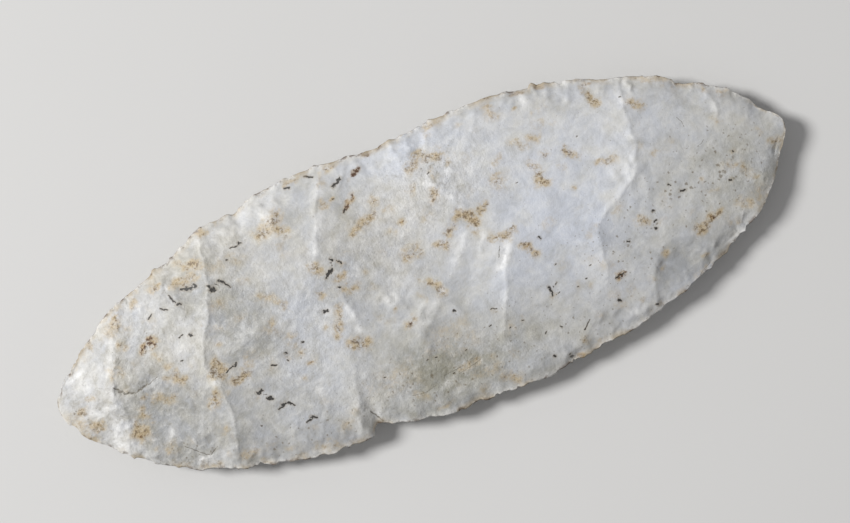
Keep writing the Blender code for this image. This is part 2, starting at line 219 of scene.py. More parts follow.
# Places are shares of the half length and the half width, counted from the middle of the blade's axis.
# An arris runs along its path. Its height and its spreads to the left and right are shares of the sizes
# above, and it fades in and out over shares of its own length.
Arris = namedtuple("Arris", "height left right fade_in fade_out path")
FACE_ARRISES = marks(Arris, [
    # The long arrises that cross the face, from the blunt point to the sharp one.
    (0.55, 1.2, 0.5, 0, 0.2, -0.82, 0.46, -0.8, 0.29, -0.81, 0.17, -0.84, 0.06, -0.85, -0.03),
    (0.5, 1, 0.6, 0, 0, -0.85, -0.03, -0.86, -0.17, -0.84, -0.31, -0.87, -0.54),
    (1.1, 1.5, 1, 0, 0, -0.49, 0.83, -0.51, 0.63, -0.53, 0.4, -0.55, 0.2, -0.58, 0.03, -0.6, -0.14, -0.59,
     -0.31, -0.59, -0.51, -0.6, -0.69, -0.62, -0.91),
    (1.05, 1.5, 1.2, 0, 0.25, -0.13, 0.94, -0.18, 0.71, -0.2, 0.57, -0.22, 0.43, -0.24, 0.26, -0.24, 0.11),
    (0.45, 1, 0.8, 0.3, 0, -0.21, -0.34, -0.25, -0.46, -0.26, -0.63, -0.27, -0.8, -0.29, -1.03),
    (0.6, 1, 1, 0.3, 0.5, 0.03, -0.2, 0, -0.29, -0.04, -0.37, -0.07, -0.51, -0.07, -0.71, -0.08, -1.06),
    (0.95, 1.4, 1.1, 0.15, 0.45, 0.24, -0.03, 0.2, -0.26, 0.18, -0.43, 0.16, -0.57, 0.14, -0.71, 0.13,
     -0.86, 0.14, -1.09),
    (1.05, 1.6, 1.5, 0, 0.2, 0.65, 0.74, 0.64, 0.57, 0.63, 0.43, 0.62, 0.29, 0.61, 0.14, 0.59, 0, 0.53,
     -0.11, 0.47, -0.23, 0.45, -0.34, 0.44, -0.49, 0.43, -0.71, 0.45, -0.97),
    # The shorter arrises between them, along the +Y edge.
    (0.3, 0.8, 0.5, 0, 0.5, -0.72, 0.6, -0.71, 0.4, -0.69, 0.23),
    (0.4, 0.8, 0.5, 0, 0.5, -0.63, 0.69, -0.62, 0.49, -0.61, 0.34, -0.61, 0.11),
    (0.55, 1, 0.6, 0, 0.4, -0.35, 0.89, -0.33, 0.77, -0.31, 0.66, -0.32, 0.46, -0.32, 0.29),
    (0.5, 1.2, 1, 0, 0.3, 0.03, 0.91, 0.06, 0.6, 0.09, 0.49, 0.13, 0.37, 0.16, 0.23),
    (0.3, 1, 1.2, 0, 0.6, 0.29, 0.97, 0.28, 0.77, 0.27, 0.57),
    (0.3, 1, 1, 0.5, 0.5, 0.36, 0.4, 0.37, 0.14, 0.37, 0, 0.32, -0.17),
    (0.35, 1, 1.2, 0, 0.6, 0.47, 0.91, 0.45, 0.69, 0.43, 0.46),
    (0.35, 0.8, 0.6, 0, 0.5, 0.83, 0.51, 0.85, 0.31, 0.85, 0.2),
    # Those along the -Y edge, the last around a scar above it.
    (0.35, 0.8, 0.8, 0.5, 0, -0.4, -0.6, -0.43, -0.74, -0.47, -0.89, -0.49, -1),
    (0.45, 1, 0.6, 0.4, 0, -0.28, -0.51, -0.32, -0.63, -0.35, -0.77, -0.39, -0.89, -0.41, -1.03),
    (0.45, 1, 0.4, 0, 0, 0.53, -0.89, 0.55, -0.69, 0.59, -0.57, 0.63, -0.53, 0.67, -0.54, 0.71, -0.63,
     0.73, -0.71),
    # The hinge behind the blunt point, a low swell along the middle, and the ribs beside it.
    (0.45, 0.9, 0.3, 0.3, 0.3, -0.84, -0.03, -0.81, -0.11, -0.77, -0.1, -0.72, -0.03),
    (0.55, 1.6, 1.6, 0.2, 0.2, -0.59, -0.17, -0.47, -0.11, -0.37, -0.09, -0.31, 0.06, -0.23, 0.17),
    (0.3, 0.5, 0.4, 0.3, 0.3, -0.22, 0.03, -0.21, -0.14, -0.21, -0.31),
    (0.3, 1.6, 1.6, 0, 0.6, 0.95, -0.29, 0.84, -0.23, 0.74, -0.11),
])

# A scar starts at a place on the edge, on the +Y or -Y side, and runs inward, turned from straight across by
# some degrees. Its reach, width and depth are shares of the retouch's reach, pitch and depth.
Scar = namedtuple("Scar", "place side turn reach width depth ending")
FACE_SCARS = [Scar(*row) for row in [
    (-0.97, 1, 55, 1.8, 2, 0.4, 2), (-0.98, -1, -70, 2, 2, 0.4, 3), (-0.91, -1, -50, 2.4, 2.6, 0.9, 2.5),
    (-0.7, -1, -30, 1.8, 2.4, 1.8, 3), (-0.25, -1, -10, 1.4, 1.3, 1.2, 2.5), (0.41, -1, 5, 1.4, 2.2, 1.5, 3),
    (0.63, -1, -5, 2.2, 3.3, 1.1, 3), (0.66, 1, -10, 1, 0.9, 1, 4),
]]

# Where the edge stands out from the even curve or falls short of it, as a share of the half width there.
Swell = namedtuple("Swell", "place side amount spread")
EDGE_SWELLS = [Swell(*row) for row in [
    (-0.985, 1, 0.14, 0.02), (-0.95, 1, -0.16, 0.12), (-0.777, 1, 0.02, 0.02), (-0.7, 1, -0.085, 0.11),
    (-0.59, 1, -0.045, 0.03), (-0.5, 1, 0.012, 0.04), (-0.405, 1, -0.03, 0.018), (-0.24, 1, 0.02, 0.07),
    (0.01, 1, -0.045, 0.1), (0.16, 1, 0.012, 0.03), (0.38, 1, 0.05, 0.14), (0.62, 1, -0.03, 0.05),
    (0.735, 1, 0.035, 0.025), (0.795, 1, -0.06, 0.022), (0.83, 1, -0.02, 0.08), (0.975, 1, -0.33, 0.04),
    (-0.915, -1, -0.045, 0.025), (-0.855, -1, -0.025, 0.015), (-0.82, -1, 0.025, 0.05),
    (-0.7, -1, 0.04, 0.08), (-0.25, -1, -0.076, 0.021), (-0.2, -1, -0.07, 0.05), (-0.115, -1, -0.02, 0.03),
    (0.2, -1, 0.033, 0.08), (0.5, -1, 0.03, 0.16), (0.63, -1, 0.04, 0.05), (0.79, -1, -0.025, 0.03),
    (0.86, -1, 0.025, 0.025), (0.957, -1, -0.23, 0.028), (1, -1, -0.4, 0.022),
]]

# The finer relief and the marks have their places in millimetres from the middle of the line between the two
# points, which runs this far below the blank's own middle.
MARKS_DROP = -1.6 * MM

# A rib stands above the scars around it, and a step or crack, which has a height below zero, cuts into them.
Rib = namedtuple("Rib", "height left right path")
RIBS = marks(Rib, [
    # The hackles, which fan out below the middle.
    (-0.42, 1.5, 0.4, 21.4, -2.2, 19.2, -5.2, 16.6, -8.6),
    (0.32, 1.8, 1.4, 14, 5, 11, 0.5, 8, -3.2, 4.6, -6.4),
    (0.24, 0.6, 1.8, 3.4, -9, 0, -11.6, -3.6, -14.6, -5.6, -19, -6.6, -25),
    (0.16, 1.2, 0.7, 18.6, 3, 16, -0.5, 13.4, -4.5),
    (0.24, 0.7, 0.5, -14, -6, -12.6, -4.2, -11, -4.4, -10.2, -6.6, -10.6, -10.2),
    (0.2, 0.9, 0.6, -8.6, -3.6, -7.6, -7.5, -6.4, -12), (0.22, 1, 0.6, 0.5, -4, 3.2, -6.5, 3.6, -9.5),
    (0.22, 0.7, 0.5, -20.8, -0.5, -19.4, -5, -19.2, -10.5),
    (0.14, 0.9, 0.6, -22.5, -0.5, -25, -3.5, -28, -5.5),
    # The ripples near the long curved arris, and the step that runs toward it from the middle.
    (0.26, 0.9, 0.7, 54.4, 5.5, 56.4, 3, 57, 0.4), (0.16, 0.9, 0.7, 50.6, 4.5, 52.6, 1.8, 53.4, -1.4),
    (0.14, 1.2, 0.9, 53, 10, 56.5, 7, 58, 3.5), (-0.14, 1.2, 3.5, 25, -5.6, 32, -4.2, 37, -1.6, 43, 0.4),
    # The crest round the dull facet near the sharp point.
    (0.16, 2.2, 0.5, 49.6, -25.6, 53, -21.4, 57.6, -18.8, 62, -18.4, 66.4, -20.2),
    # The steps at the blunt point and the facets below it.
    (-0.24, 0.5, 0.3, -81.5, -0.5, -78.5, -3.4, -74, -4, -69.5, -2),
    (0.24, 0.9, 1, -92, -10.4, -88.6, -8, -84.6, -5.6), (0.16, 0.8, 0.5, -91, -3, -88.5, -4.5, -87, -8),
    (0.46, 0.9, 4.2, -76.2, 13.5, -77.4, 5, -79.6, 1, -81.2, -3, -80.2, -8, -81.2, -12.5),
    (0.42, 0.7, 3.2, -81.5, -12.5, -82.6, -16, -84, -18.4),
    (-0.2, 0.7, 0.4, -73, -17, -69, -21.5, -64, -24.5, -60.5, -23),
    (0.34, 0.5, 1.4, -68.4, -28.4, -66.4, -25, -63, -25.8),
    (0.2, 0.6, 1.4, -78.6, -22.6, -76.4, -20, -75.6, -17),
    (0.2, 0.6, 1.4, -72.6, -26, -71, -23.6, -68.6, -22.4),
    (0.4, 2, 6, -80, -5, -76, -4.8, -70, -4.2, -64, -5),
    # The broad fold past the first long arris.
    (0.5, 4, 4, -54, -5, -47, -2.6, -41, -0.4, -33, 3), (0.24, 2, 2.6, -47, -9.4, -41, -8, -36, -6.4),
    # Facets between the blunt point's arris and the first long one.
    (0.2, 1.4, 1.4, -66, -17, -62, -19.4, -60, -16, -61, -11.6),
    (0.22, 0.9, 1.6, -73.4, -20.4, -70.6, -17.4, -70.8, -14.6),
    (0.26, 0.8, 1.8, -62, 15, -60.6, 17.6, -61.6, 20.4), (0.22, 0.7, 1.6, -64.8, 21.2, -64, 18.4),
    (0.24, 0.9, 1.8, -72.6, 17.6, -73.4, 14, -75.4, 11.4), (0.2, 1, 1.6, -60, 16, -58.4, 12.2, -57.4, 8.6),
    (0.2, 0.9, 1.8, -85, 3, -83.6, 0.6, -84.4, -3), (0.2, 1, 0.8, -90.4, 4, -86.8, 5.2),
    # The bright facets along the +Y edge.
    (0.26, 0.5, 2.4, -32.6, 29.4, -31, 25.5, -30.3, 21), (0.22, 0.6, 1.4, -25, 31.4, -26.8, 27.5, -29.5, 24),
    (0.2, 0.8, 0.9, 9.5, 17.6, 12, 13.6, 14.4, 10, 15, 7.6), (0.16, 0.5, 0.7, 14.6, 19.6, 14, 17.4),
    (0.28, 0.4, 1.8, 37.4, 31.6, 38.6, 27.8), (0.28, 0.4, 1.8, 63, 25.2, 62.8, 21.3),
    (0.18, 0.5, 0.7, 80.8, 12.6, 80.8, 10, 79.6, 7),
    # Those along the -Y edge.
    (-0.3, 0.3, 0.3, -24.3, -29, -23, -31.5, -21.8, -33.5), (0.24, 0.4, 0.9, 43.8, -28.4, 44.6, -33.2),
    (0.24, 0.4, 0.9, 46.8, -28.4, 49, -32.4),
])

# The short ridges between the small scars, in millimetres: how far along the blade they go, how far in they
# start, and the ranges of their spacing, length, lean, height and spreads.
RIDGE_SPAN = 90.0
RIDGE_INSET = 0.6
RIDGE_SPACING = (2.4, 5.8)
RIDGE_LENGTH = (2.5, 8.0)
RIDGE_LEAN = (-0.5, 0.5)
RIDGE_HEIGHT = (0.10, 0.36)
RIDGE_LEFT = (0.6, 1.2)
RIDGE_RIGHT = (0.9, 2.6)
# A rib or ridge fades in and out over this share of its length.
RIB_FADES = (0.3, 0.3)

# Waves run out from where a flake was struck: near, far and wave are in millimetres, way and fan in degrees.
Ripple = namedtuple("Ripple", "x y way fan near far wave height")
RIPPLES = [Ripple(*row) for row in [
    (38, 0, 5, 55, 8, 26, 3.2, 0.035), (-57, -13, 180, 80, 2, 10, 1.9, 0.022),
    (-14, 2, -60, 60, 4, 18, 2.2, 0.022), (-30, 34, -100, 40, 10, 40, 4.4, 0.03),
    (5, 36, -80, 40, 8, 40, 5, 0.03), (-50, -36, 80, 45, 8, 36, 4.2, 0.035),
    (80, -22, 140, 50, 8, 40, 5.2, 0.03), (4, -40, 95, 40, 8, 40, 4, 0.035),
    (30, -38, 95, 40, 10, 44, 5.4, 0.03),
]]

# A streak is a line drawn this many times as wide as a fine one.
Streak = namedtuple("Streak", "width path")
# The black and brown-black dendrites, each a short line of manganese oxide in the patina.
DENDRITES = marks(Streak, [
    (0.7, -59.8, 15, -59.4, 13.4, -58.4, 12.1), (1.1, -58.6, 12.2, -57.9, 12), (0.9, -56.6, 15.3, -55.4, 15),
    (1.5, -55.2, 15, -54.3, 14.5), (1.2, -53.3, 15.2, -52.8, 14.7), (1.2, -50.2, 13.8, -49.7, 13),
    (1.7, -49.6, 12.8, -49, 12.3), (1.1, -47.3, 13.9, -46.3, 13.3), (0.8, -46.2, 13.2, -45, 11.5),
    (0.6, -66.6, 11.3, -65.5, 12.2), (0.6, -63, 12.8, -62.2, 12.1, -61.4, 11.8),
    (0.7, -41.8, 20.3, -40, 20.2), (0.9, -39.4, 20.8, -38.9, 20.6), (0.9, -24.4, 29.2, -23.2, 28.8),
    (0.7, -18.8, 30.2, -17, 29.3), (1.2, -13, 25.3, -12, 25.7), (1.2, -11.6, 26, -10.9, 26.7),
    (0.7, -13, 18.4, -12.4, 19), (1, -22.6, 5.1, -21.6, 5.8), (1.4, -21.2, 6.2, -20.6, 6.6),
    (0.9, -20, 9.2, -19.6, 8.6), (0.7, -18.3, 7.9, -17.9, 7.2), (0.8, -20.7, 2, -20.2, 1.8),
    (1.5, -25.9, -2.3, -25.2, -2.4), (1.2, -58.3, 4.1, -57.9, 4), (0.5, -53.4, -7.6, -52, -6.8),
    (0.8, -51.9, -6.9, -51.3, -6.5), (0.8, -50.8, -6.9, -50.2, -6.2), (1.4, -48, -15, -47, -14.7),
    (1.3, -46.2, -17.1, -45.3, -17.3), (0.8, -44.6, -20.4, -43.7, -20.2), (1.5, -43.4, -19.8, -42.2, -19.6),
    (0.9, -41.8, -19.8, -40.9, -20.8), (0.8, -39.6, -25.9, -38.4, -25.4), (0.9, -38.2, -24.8, -37, -25.5),
    (0.8, -38.4, -8.3, -38, -8.4), (0.6, -38.5, -10, -38.3, -10.3), (0.7, -33.6, -7.2, -33.3, -7.3),
    (0.8, -42.4, -9.8, -41.4, -10.2), (0.6, -50.4, -22.6, -50.1, -22.7), (1, 26.9, -16.2, 27.1, -17),
    (0.9, 27.3, -17.6, 27, -18.6), (0.5, 28.6, -16.4, 29.2, -15.9), (0.4, 28.4, -18.6, 29.2, -18.3),
    (0.5, 31.5, -29.3, 33.4, -27.4), (1, 41.8, -25.4, 42.2, -25.6), (0.9, 22.3, -32.4, 22.5, -32.7),
    (1.3, 26.1, -33.9, 26.4, -34.4), (0.6, 43, -20.1, 45.2, -19.7), (0.8, 3.2, -13.4, 3.7, -13.5),
    (0.8, 50, -29.7, 50.5, -29.9), (0.9, 29, -4.2, 29.3, -4.5), (1.1, 65.2, -6.1, 66.2, -6.2),
    (0.8, 57, -8.1, 57.4, -8.2), (1.1, 56.2, -12.3, 56.5, -12.5), (0.8, 48.8, -12.9, 49.2, -13.1),
    (0.7, 56.6, -10.6, 57.2, -10.5), (0.7, 77.4, -7.8, 77.8, -8), (0.7, 80.6, -1.5, 80.8, -1.7),
    (0.8, 63, -3.6, 63.3, -3.8),
])
# The smaller ones, as the place where each starts and how far it rises.
DENDRITES += [Streak(0.5, [(x, y), (x + 0.4, y + rise)]) for x, y, rise in [
    (12, -16.3, 0.1), (13, -16.6, -0.1), (-7, -22.3, 0.2), (-4.8, -22.4, 0), (2.5, -23.5, 0.2),
    (18, -21.5, -0.1), (22.2, -26.6, 0.4), (26.3, -26.2, -0.4), (10.2, -20, 0.1), (30.2, -11.8, 0.1),
    (33.4, -18.7, -0.1), (36, -17.7, 0.1), (38, -15, 0), (14.5, -22.3, 0.3), (-18.2, -22.4, -0.2),
    (-62.6, -1, 0), (-61.2, 4.4, 0.1), (-60.4, 4.7, 0.1), (-14.3, 22.4, 0), (-43.8, 17.9, 0),
    (59.6, 20.6, 0), (28.6, 10, 0.1), (-2.2, -27.6, 0.1), (46.2, 15.2, 0.1), (9.4, 19.9, 0.2),
]]
CRACKS = marks(Streak, [
    (1.5, -80.3, -1.2, -78.4, -3.4, -75.6, -4.3, -72.8, -3.4), (0.6, -72.4, -3.6, -69.4, -2.4),
    (1, -24.3, -29, -23, -31, -21.8, -33.5), (0.6, -69.6, -20.6, -66.4, -23.6),
    (0.7, -66.4, -23.6, -64.6, -25, -62.2, -23.6), (0.4, -1, -28.2, 2.5, -27.5, 5.5, -26.7),
    (0.4, -4.5, -27.3, 0, -26.8), (0.5, 62.5, -27, 66, -25), (0.5, 70.9, 11, 71.5, 9.6, 71.7, 8.2),
    (0.4, 73, 2.5, 74.2, 2.9, 75, 3.6), (0.7, 18.2, -5.2, 19.5, -2.6), (0.5, 65.2, -23.4, 66.2, -22.6),
    (0.4, -14, -29, -10, -29.6, -7, -28.8),
])

# A stain follows a short path, with a reach to either side and a strength. The tan ones are iron-stained
# silt, the rust ones iron itself.
Stain = namedtuple("Stain", "reach strength path")
TAN_STAINS = marks(Stain, [
    # Around the blunt point, as far as the first long arris.
    (2.4, 0.55, -93, -5.5, -90, -7.5), (1.3, 0.85, -89, -8.6, -86.8, -9),
    (1.2, 0.8, -90.5, -10.8, -88.5, -12), (0.8, 0.8, -91, -4.2, -89.2, -4),
    (0.7, 0.75, -87.6, -1.4, -86.6, -1.7), (0.9, 0.4, -87.4, 6.2), (0.8, 0.8, -83.2, 10.8, -82.5, 9.8),
    (2.2, 0.5, -78.5, 14.2, -76.5, 12.2), (1.2, 0.85, -74.6, 12.6, -74.2, 14.4),
    (1.2, 0.5, -75.5, 16.2, -72.5, 16.6), (1.2, 0.45, -73, 11, -71.6, 10.4),
    (0.9, 0.75, -75.6, 7.8, -74, 7.4), (1, 1, -70.2, 5.2, -68.4, 5.8, -67, 5.9),
    (1.1, 0.5, -68.6, 3, -67.6, 1.2), (1, 0.55, -79.6, 3, -79.8, 1.2), (1.2, 0.6, -77.6, 1.6),
    (0.8, 0.5, -77.8, -3), (1, 0.75, -66, -1), (0.9, 0.65, -68.2, -3.8, -66.2, -3.8),
    (1.3, 0.85, -65, -4, -64, -5.6), (1, 0.85, -74.4, -6.2), (1.2, 0.6, -72.2, -7.2, -70.4, -7.2),
    (1.3, 0.75, -69.2, -8.4, -68.2, -8.8), (1.2, 0.7, -76, -8.8, -75.5, -10.4), (0.8, 0.6, -74.6, -12.4),
    (1.6, 0.85, -78.2, -12, -79.2, -14.2, -77.4, -14.6), (0.8, 0.6, -62.3, -9.2), (0.7, 0.4, -60.8, -2.8),
    (1, 0.35, -84, -16.2), (0.8, 0.45, -76.2, -19), (1, 0.6, -73.6, -20, -71.4, -19),
    (1, 0.35, -67.4, -20.4), (1.5, 0.5, -75, -24.4, -71, -25.2), (1.3, 0.75, -67, -27.4, -64, -27.9),
    (1.3, 0.85, -59, -13.4, -57.4, -11.6), (0.8, 0.5, -55, -12.2), (1.1, 0.6, -58.6, -20),
    (1.2, 0.4, -60.2, -26.4), (1, 0.75, -69.2, 16, -68.4, 16.4), (0.8, 0.7, -67.6, 18.5),
    (0.8, 0.85, -63.4, 17.6, -61.6, 18.3), (0.8, 0.6, -62.6, 20.2), (0.8, 0.65, -59.2, 16.6),
    (1.3, 0.75, -57.4, 17, -54.6, 16.6, -52.6, 17.2), (1.4, 0.9, -53, 20, -50.6, 19.6),
    (0.9, 0.7, -55.4, 21.5, -54.2, 21), (0.8, 0.35, -60.6, 6.8), (0.7, 0.55, -54.2, 5.4),
    (0.8, 0.3, -66.2, 9.2),
    # Between the first long arris and the second.
    (1.5, 0.95, -54.8, -5, -56, -7, -53.6, -7.3), (1, 0.6, -53, -0.6), (1.3, 0.9, -52, -10.2, -49, -9.6),
    (1.2, 0.5, -48, -7.8, -46.8, -5.6), (0.8, 0.4, -53.2, 3.6, -50.6, 3), (0.8, 0.35, -48.6, 3.6),
    (1, 0.6, -45.6, 4), (1.2, 0.5, -50.6, 8.8, -48.6, 8.8), (0.8, 0.4, -44, 7),
    (1.1, 0.6, -39.6, 6.8, -37, 5.8, -35.4, 4, -34.4, 2.4), (1.2, 0.7, -39.2, -0.2, -38.8, -1.8),
    (1.2, 0.6, -36.6, -4.8, -35.2, -5), (0.9, 0.45, -43, -10.8, -42, -9.6), (0.9, 0.65, -38.4, -9.8),
    (0.9, 0.6, -36.4, -15.6), (1, 0.8, -34.8, -9.8), (0.9, 0.85, -33.2, -12.2), (1, 0.55, -48.6, -16.2),
    (0.8, 0.35, -46.4, -13.4), (1.7, 0.5, -48.4, 17.2, -45.6, 17.6), (1.5, 0.45, -43, 18, -40.4, 16.6),
    (1.2, 0.5, -41.6, 11.6), (1, 0.9, -49, 26.8, -46.6, 26.8), (1.6, 0.8, -34, 20.6, -31, 22, -28.6, 23.4),
    (1.3, 0.85, -29, 20.2, -28, 18.8), (1.1, 0.5, -30.6, 16.6), (1.3, 0.9, -24.6, 8.4, -23.4, 7.4),
    (1.2, 0.85, -25.2, 1.8), (0.7, 0.35, -25, 13.4),
    (1, 0.85, -22.4, -2.6, -23, -5, -23.8, -7.2, -25.2, -8.6), (1, 0.65, -26.6, -6),
    (1.4, 0.6, -57, -28.2, -53.6, -27.6), (1, 0.6, -53, -31, -51.8, -32), (1.2, 0.45, -46, -30.6),
    (1.2, 0.6, -43, -33.2), (1.6, 0.35, -39, -27.6), (1.5, 0.6, -39, -32.8, -35, -33.8),
    (2, 0.5, -31, -30.4), (1.3, 0.45, -28.2, -27.6),
    # Between the second and the third, whose ends meet in the middle.
    (1.2, 0.9, -19.6, 4.2, -18.4, 4.2), (0.7, 0.55, -18.8, 8, -17.8, 7), (0.6, 0.55, -16, 8.8),
    (1.1, 0.65, -19.2, 0.6, -16, 0.6), (0.9, 0.45, -13.4, 3.4), (0.9, 0.5, -13, -1),
    (1.5, 0.95, -22, -12.4, -19, -13), (1.2, 0.95, -7.6, -12.4, -6.6, -12.2), (0.7, 0.85, -9.4, -7.8),
    (0.8, 0.5, -14, -8.6), (0.7, 0.45, -12.6, -10.3, -10.6, -10.2),
    (1.1, 0.85, 0.3, -5, 1.8, -6.4, 2.8, -8.6), (0.7, 0.5, -2.2, -3.2), (0.6, 0.45, -3, -6.2, -2, -8.6),
    (1.3, 0.85, -12.4, 13.3, -9.4, 14.2, -6.2, 15.4), (1, 0.6, -3.4, 15.2, -2.2, 15.2),
    (1.2, 0.8, -5.4, 18.4), (1, 0.75, -17.2, 22.6, -16.4, 21.4), (0.5, 0.9, -14.3, 22.4),
    (0.9, 0.7, -12.2, 19.2, -9.4, 21.2), (1, 0.6, -15.2, 28.6, -16, 26.2),
    (1.1, 0.85, -13, 30.4, -11.6, 30.4), (0.9, 0.45, -8.8, 25.6), (0.8, 0.75, -24, 30.6, -21, 30.2),
    (1, 0.6, -3.6, 9.8), (1, 0.95, -0.8, 10.9), (0.9, 0.45, -7.9, 6),
    (1.4, 0.8, -2.8, 3.2, -0.3, 3.8, 0.8, 3.2), (1.1, 0.8, 4.2, 17.8), (1.2, 0.9, 8.3, 13.8, 9.3, 15.3),
    (1.1, 0.5, 6.8, 10.4), (1.3, 0.8, 5.6, 22.5, 7.6, 23.4), (1.1, 0.75, 7.6, 25, 10, 24.8),
    (1.3, 0.9, 10.6, 24, 13.4, 22.9), (0.9, 0.75, 15.2, 20.8), (0.8, 0.55, 10.2, 20.6, 10.8, 18.8),
    (0.8, 0.45, 14.6, 25.2), (1.1, 0.9, 5.6, 2.8, 7, 2), (1.1, 0.85, 8.8, 4.5, 10.8, 6),
    (1.5, 1, 13, 8, 15, 6.6, 16, 5), (1.1, 0.65, 15.3, 2.4), (1, 0.85, 17.6, 7, 19.6, 7.6),
    (1.3, 0.5, -7, 34, 3, 34), (1.2, 0.65, 13.6, 31, 16.2, 31), (1, 0.45, 12.4, 28.8),
    (3, 0.4, -17, -22.6, -12, -22.2), (3, 0.38, -3, -18.2, 4, -17.6), (2.6, 0.38, -2, -21.2, 5, -20.6),
    (2.6, 0.36, -22, -24, -11, -26), (1, 0.65, 0.6, -27.4, 4.6, -26.4), (1.5, 0.5, 4, -30.6, 8.2, -30),
    (0.9, 0.45, -2.4, -31), (1.5, 0.7, 9.4, -32.8, 12, -34.4), (1.8, 0.45, 3.4, -34),
    (1.2, 0.5, -8.4, -34.4, -5.8, -34.2), (1, 0.5, -12.2, -29.2, -10, -31),
    # Toward the sharp point.
    (1.1, 0.9, 18.6, 0, 21, -1, 23.6, 0), (0.7, 0.9, 20, -1.8), (0.8, 0.6, 22.8, -2.2), (0.7, 0.4, 21, -5.6),
    (0.8, 0.4, 17.6, 22.6), (1.1, 0.9, 24.8, -4.4, 25.6, -5.6, 27, -7.4), (1.3, 0.75, 24, 12.4, 24.8, 11),
    (0.9, 0.65, 25.2, 14), (0.9, 0.65, 25.2, 16.4, 27.2, 17.2), (1.2, 0.3, 17.4, 12),
    (1.6, 0.6, 28.6, 30, 29.6, 27.4), (0.7, 0.5, 20.8, 28.6), (1.2, 0.65, 31.2, 19.4, 34, 18),
    (1, 0.8, 36, 19.2, 37.4, 18), (1.1, 0.8, 37.4, 14), (1, 0.75, 33.6, 13.4, 34.2, 11.6),
    (1.5, 0.9, 34.2, 9.6, 35.2, 8), (1.2, 0.5, 40.3, 9.6), (1.1, 0.8, 42.6, 13.6, 43.6, 12, 45, 10.8),
    (0.9, 0.75, 48.6, 7.8, 51, 7, 53, 7.1), (1.2, 0.5, 59.4, 7.8), (0.8, 0.8, 41, 3.8),
    (0.8, 0.6, 37.8, 24.4), (1, 0.45, 38.6, 20.6, 40, 22), (0.6, 0.75, 34.7, 27), (0.8, 0.4, 41.8, 20.4),
    (1, 0.65, 51.8, 25, 52.6, 27), (1.1, 0.9, 53, 23.6, 53.8, 20.8), (1.3, 0.75, 61.2, 18.6, 63.4, 17),
    (0.7, 0.55, 62, 4.8, 63.4, 5.2), (1.2, 0.4, 67.2, 6.3), (0.9, 0.4, 62, 13.3),
    (1.2, 0.6, 66.6, 22.8, 70.8, 20.8), (1, 0.55, 73, 18), (0.8, 0.65, 80, 15),
    (1.1, 0.7, 82.8, 13.2, 84.2, 12.4), (0.8, 0.5, 79.4, 7), (0.9, 0.45, 86, 4), (0.9, 0.45, 88.4, 0.8),
    (0.9, 0.7, 90.4, -3, 92.4, -3.2), (0.9, 0.5, 81, -2), (1, 0.6, 77.6, -4.2, 80, -4.8),
    (1.2, 0.65, 81.6, -5.4, 82.2, -7.4), (0.9, 0.65, 84, -9.4), (0.8, 0.55, 78, -8), (0.8, 0.65, 71, -5.5),
    (0.8, 0.45, 71.6, -8.4, 74, -9), (0.9, 0.45, 66, -11.4), (1.1, 0.9, 68.6, -15.5, 70.2, -14.8, 72.6, -14),
    (1.4, 1, 67.4, -16.5, 66.4, -16.3), (1.2, 0.65, 77.6, -13.8, 80.4, -15),
    (1.5, 0.5, 82, -15.6, 83.4, -12.6), (1, 0.65, 76, -18.4), (0.8, 0.55, 74, -17), (1.1, 0.8, 56.5, -19),
    (0.9, 0.65, 54.6, -21.6), (1.2, 0.4, 51, -24), (1.3, 0.65, 53, -9, 54.8, -9.6), (1.3, 0.45, 58, -11.2),
    (1.4, 0.35, 61, -5.6, 61, -8.2), (0.8, 0.65, 65.4, -22.6), (1.5, 0.45, 41.2, -24, 42, -26.6),
    (1.2, 0.5, 45.4, -24.4), (0.9, 0.65, 47, -27.8), (0.9, 0.9, 43.8, -19.8, 45, -19.6),
    (1, 0.45, 36.6, -19.2), (0.8, 0.65, 33.6, -18.5), (0.9, 0.55, 41, -15),
    (1.4, 0.38, 39, -13.6, 42.6, -16.6), (2.2, 0.32, 32.4, -12.4), (1.2, 0.45, 48, -5.6, 50, -4.2),
    (1, 0.4, 40.2, -8.4, 42.4, -6.6), (1.2, 0.45, 31.4, -2.2, 33, -1.6), (1, 0.8, 31, -31.6),
    (1.3, 0.4, 36, -27.6), (1.2, 0.55, 15, -22), (0.8, 0.5, 12.4, -17), (0.8, 0.5, 18.2, -21),
    (1, 0.6, 27.4, -18.6), (1.2, 0.4, 13.2, -28.6), (1.1, 0.95, 28.6, -34.6), (0.8, 0.75, 51.4, -29.8),
    (1.2, 0.6, 62, -27.2, 64, -26.4), (1.2, 0.55, 34.6, -33.4),
])
# The faint ones between them, as x, y and strength.
TAN_STAINS += [Stain(1.6, strength, [(x, y)]) for x, y, strength in [
    (-72.4, -19.6, 0.55), (-58.6, -21, 0.5), (-63, 18.4, 0.45), (-66.4, 11.4, 0.4), (-46.4, 17.6, 0.35),
    (-40, -1.2, 0.5), (-35.6, -7.4, 0.45), (-84.6, 9, 0.35), (-50, -28, 0.45), (3, -29.4, 0.45),
    (-72.6, 1.8, 0.4), (-45.4, -5.6, 0.35), (8.4, -27, 0.45), (-12, -24, 0.45), (-6, -20.4, 0.4),
    (19.6, 20.4, 0.35), (27, 12.6, 0.45), (41, 24.8, 0.4), (38.4, 21.6, 0.35), (66, 4.6, 0.3),
    (84, -12, 0.4), (80, 6.6, 0.3), (-30, 14, 0.35), (-20.4, 1.4, 0.4), (5.4, 10.6, 0.4), (-38, 5.6, 0.35),
    (-33.4, -22.4, 0.35),
]]
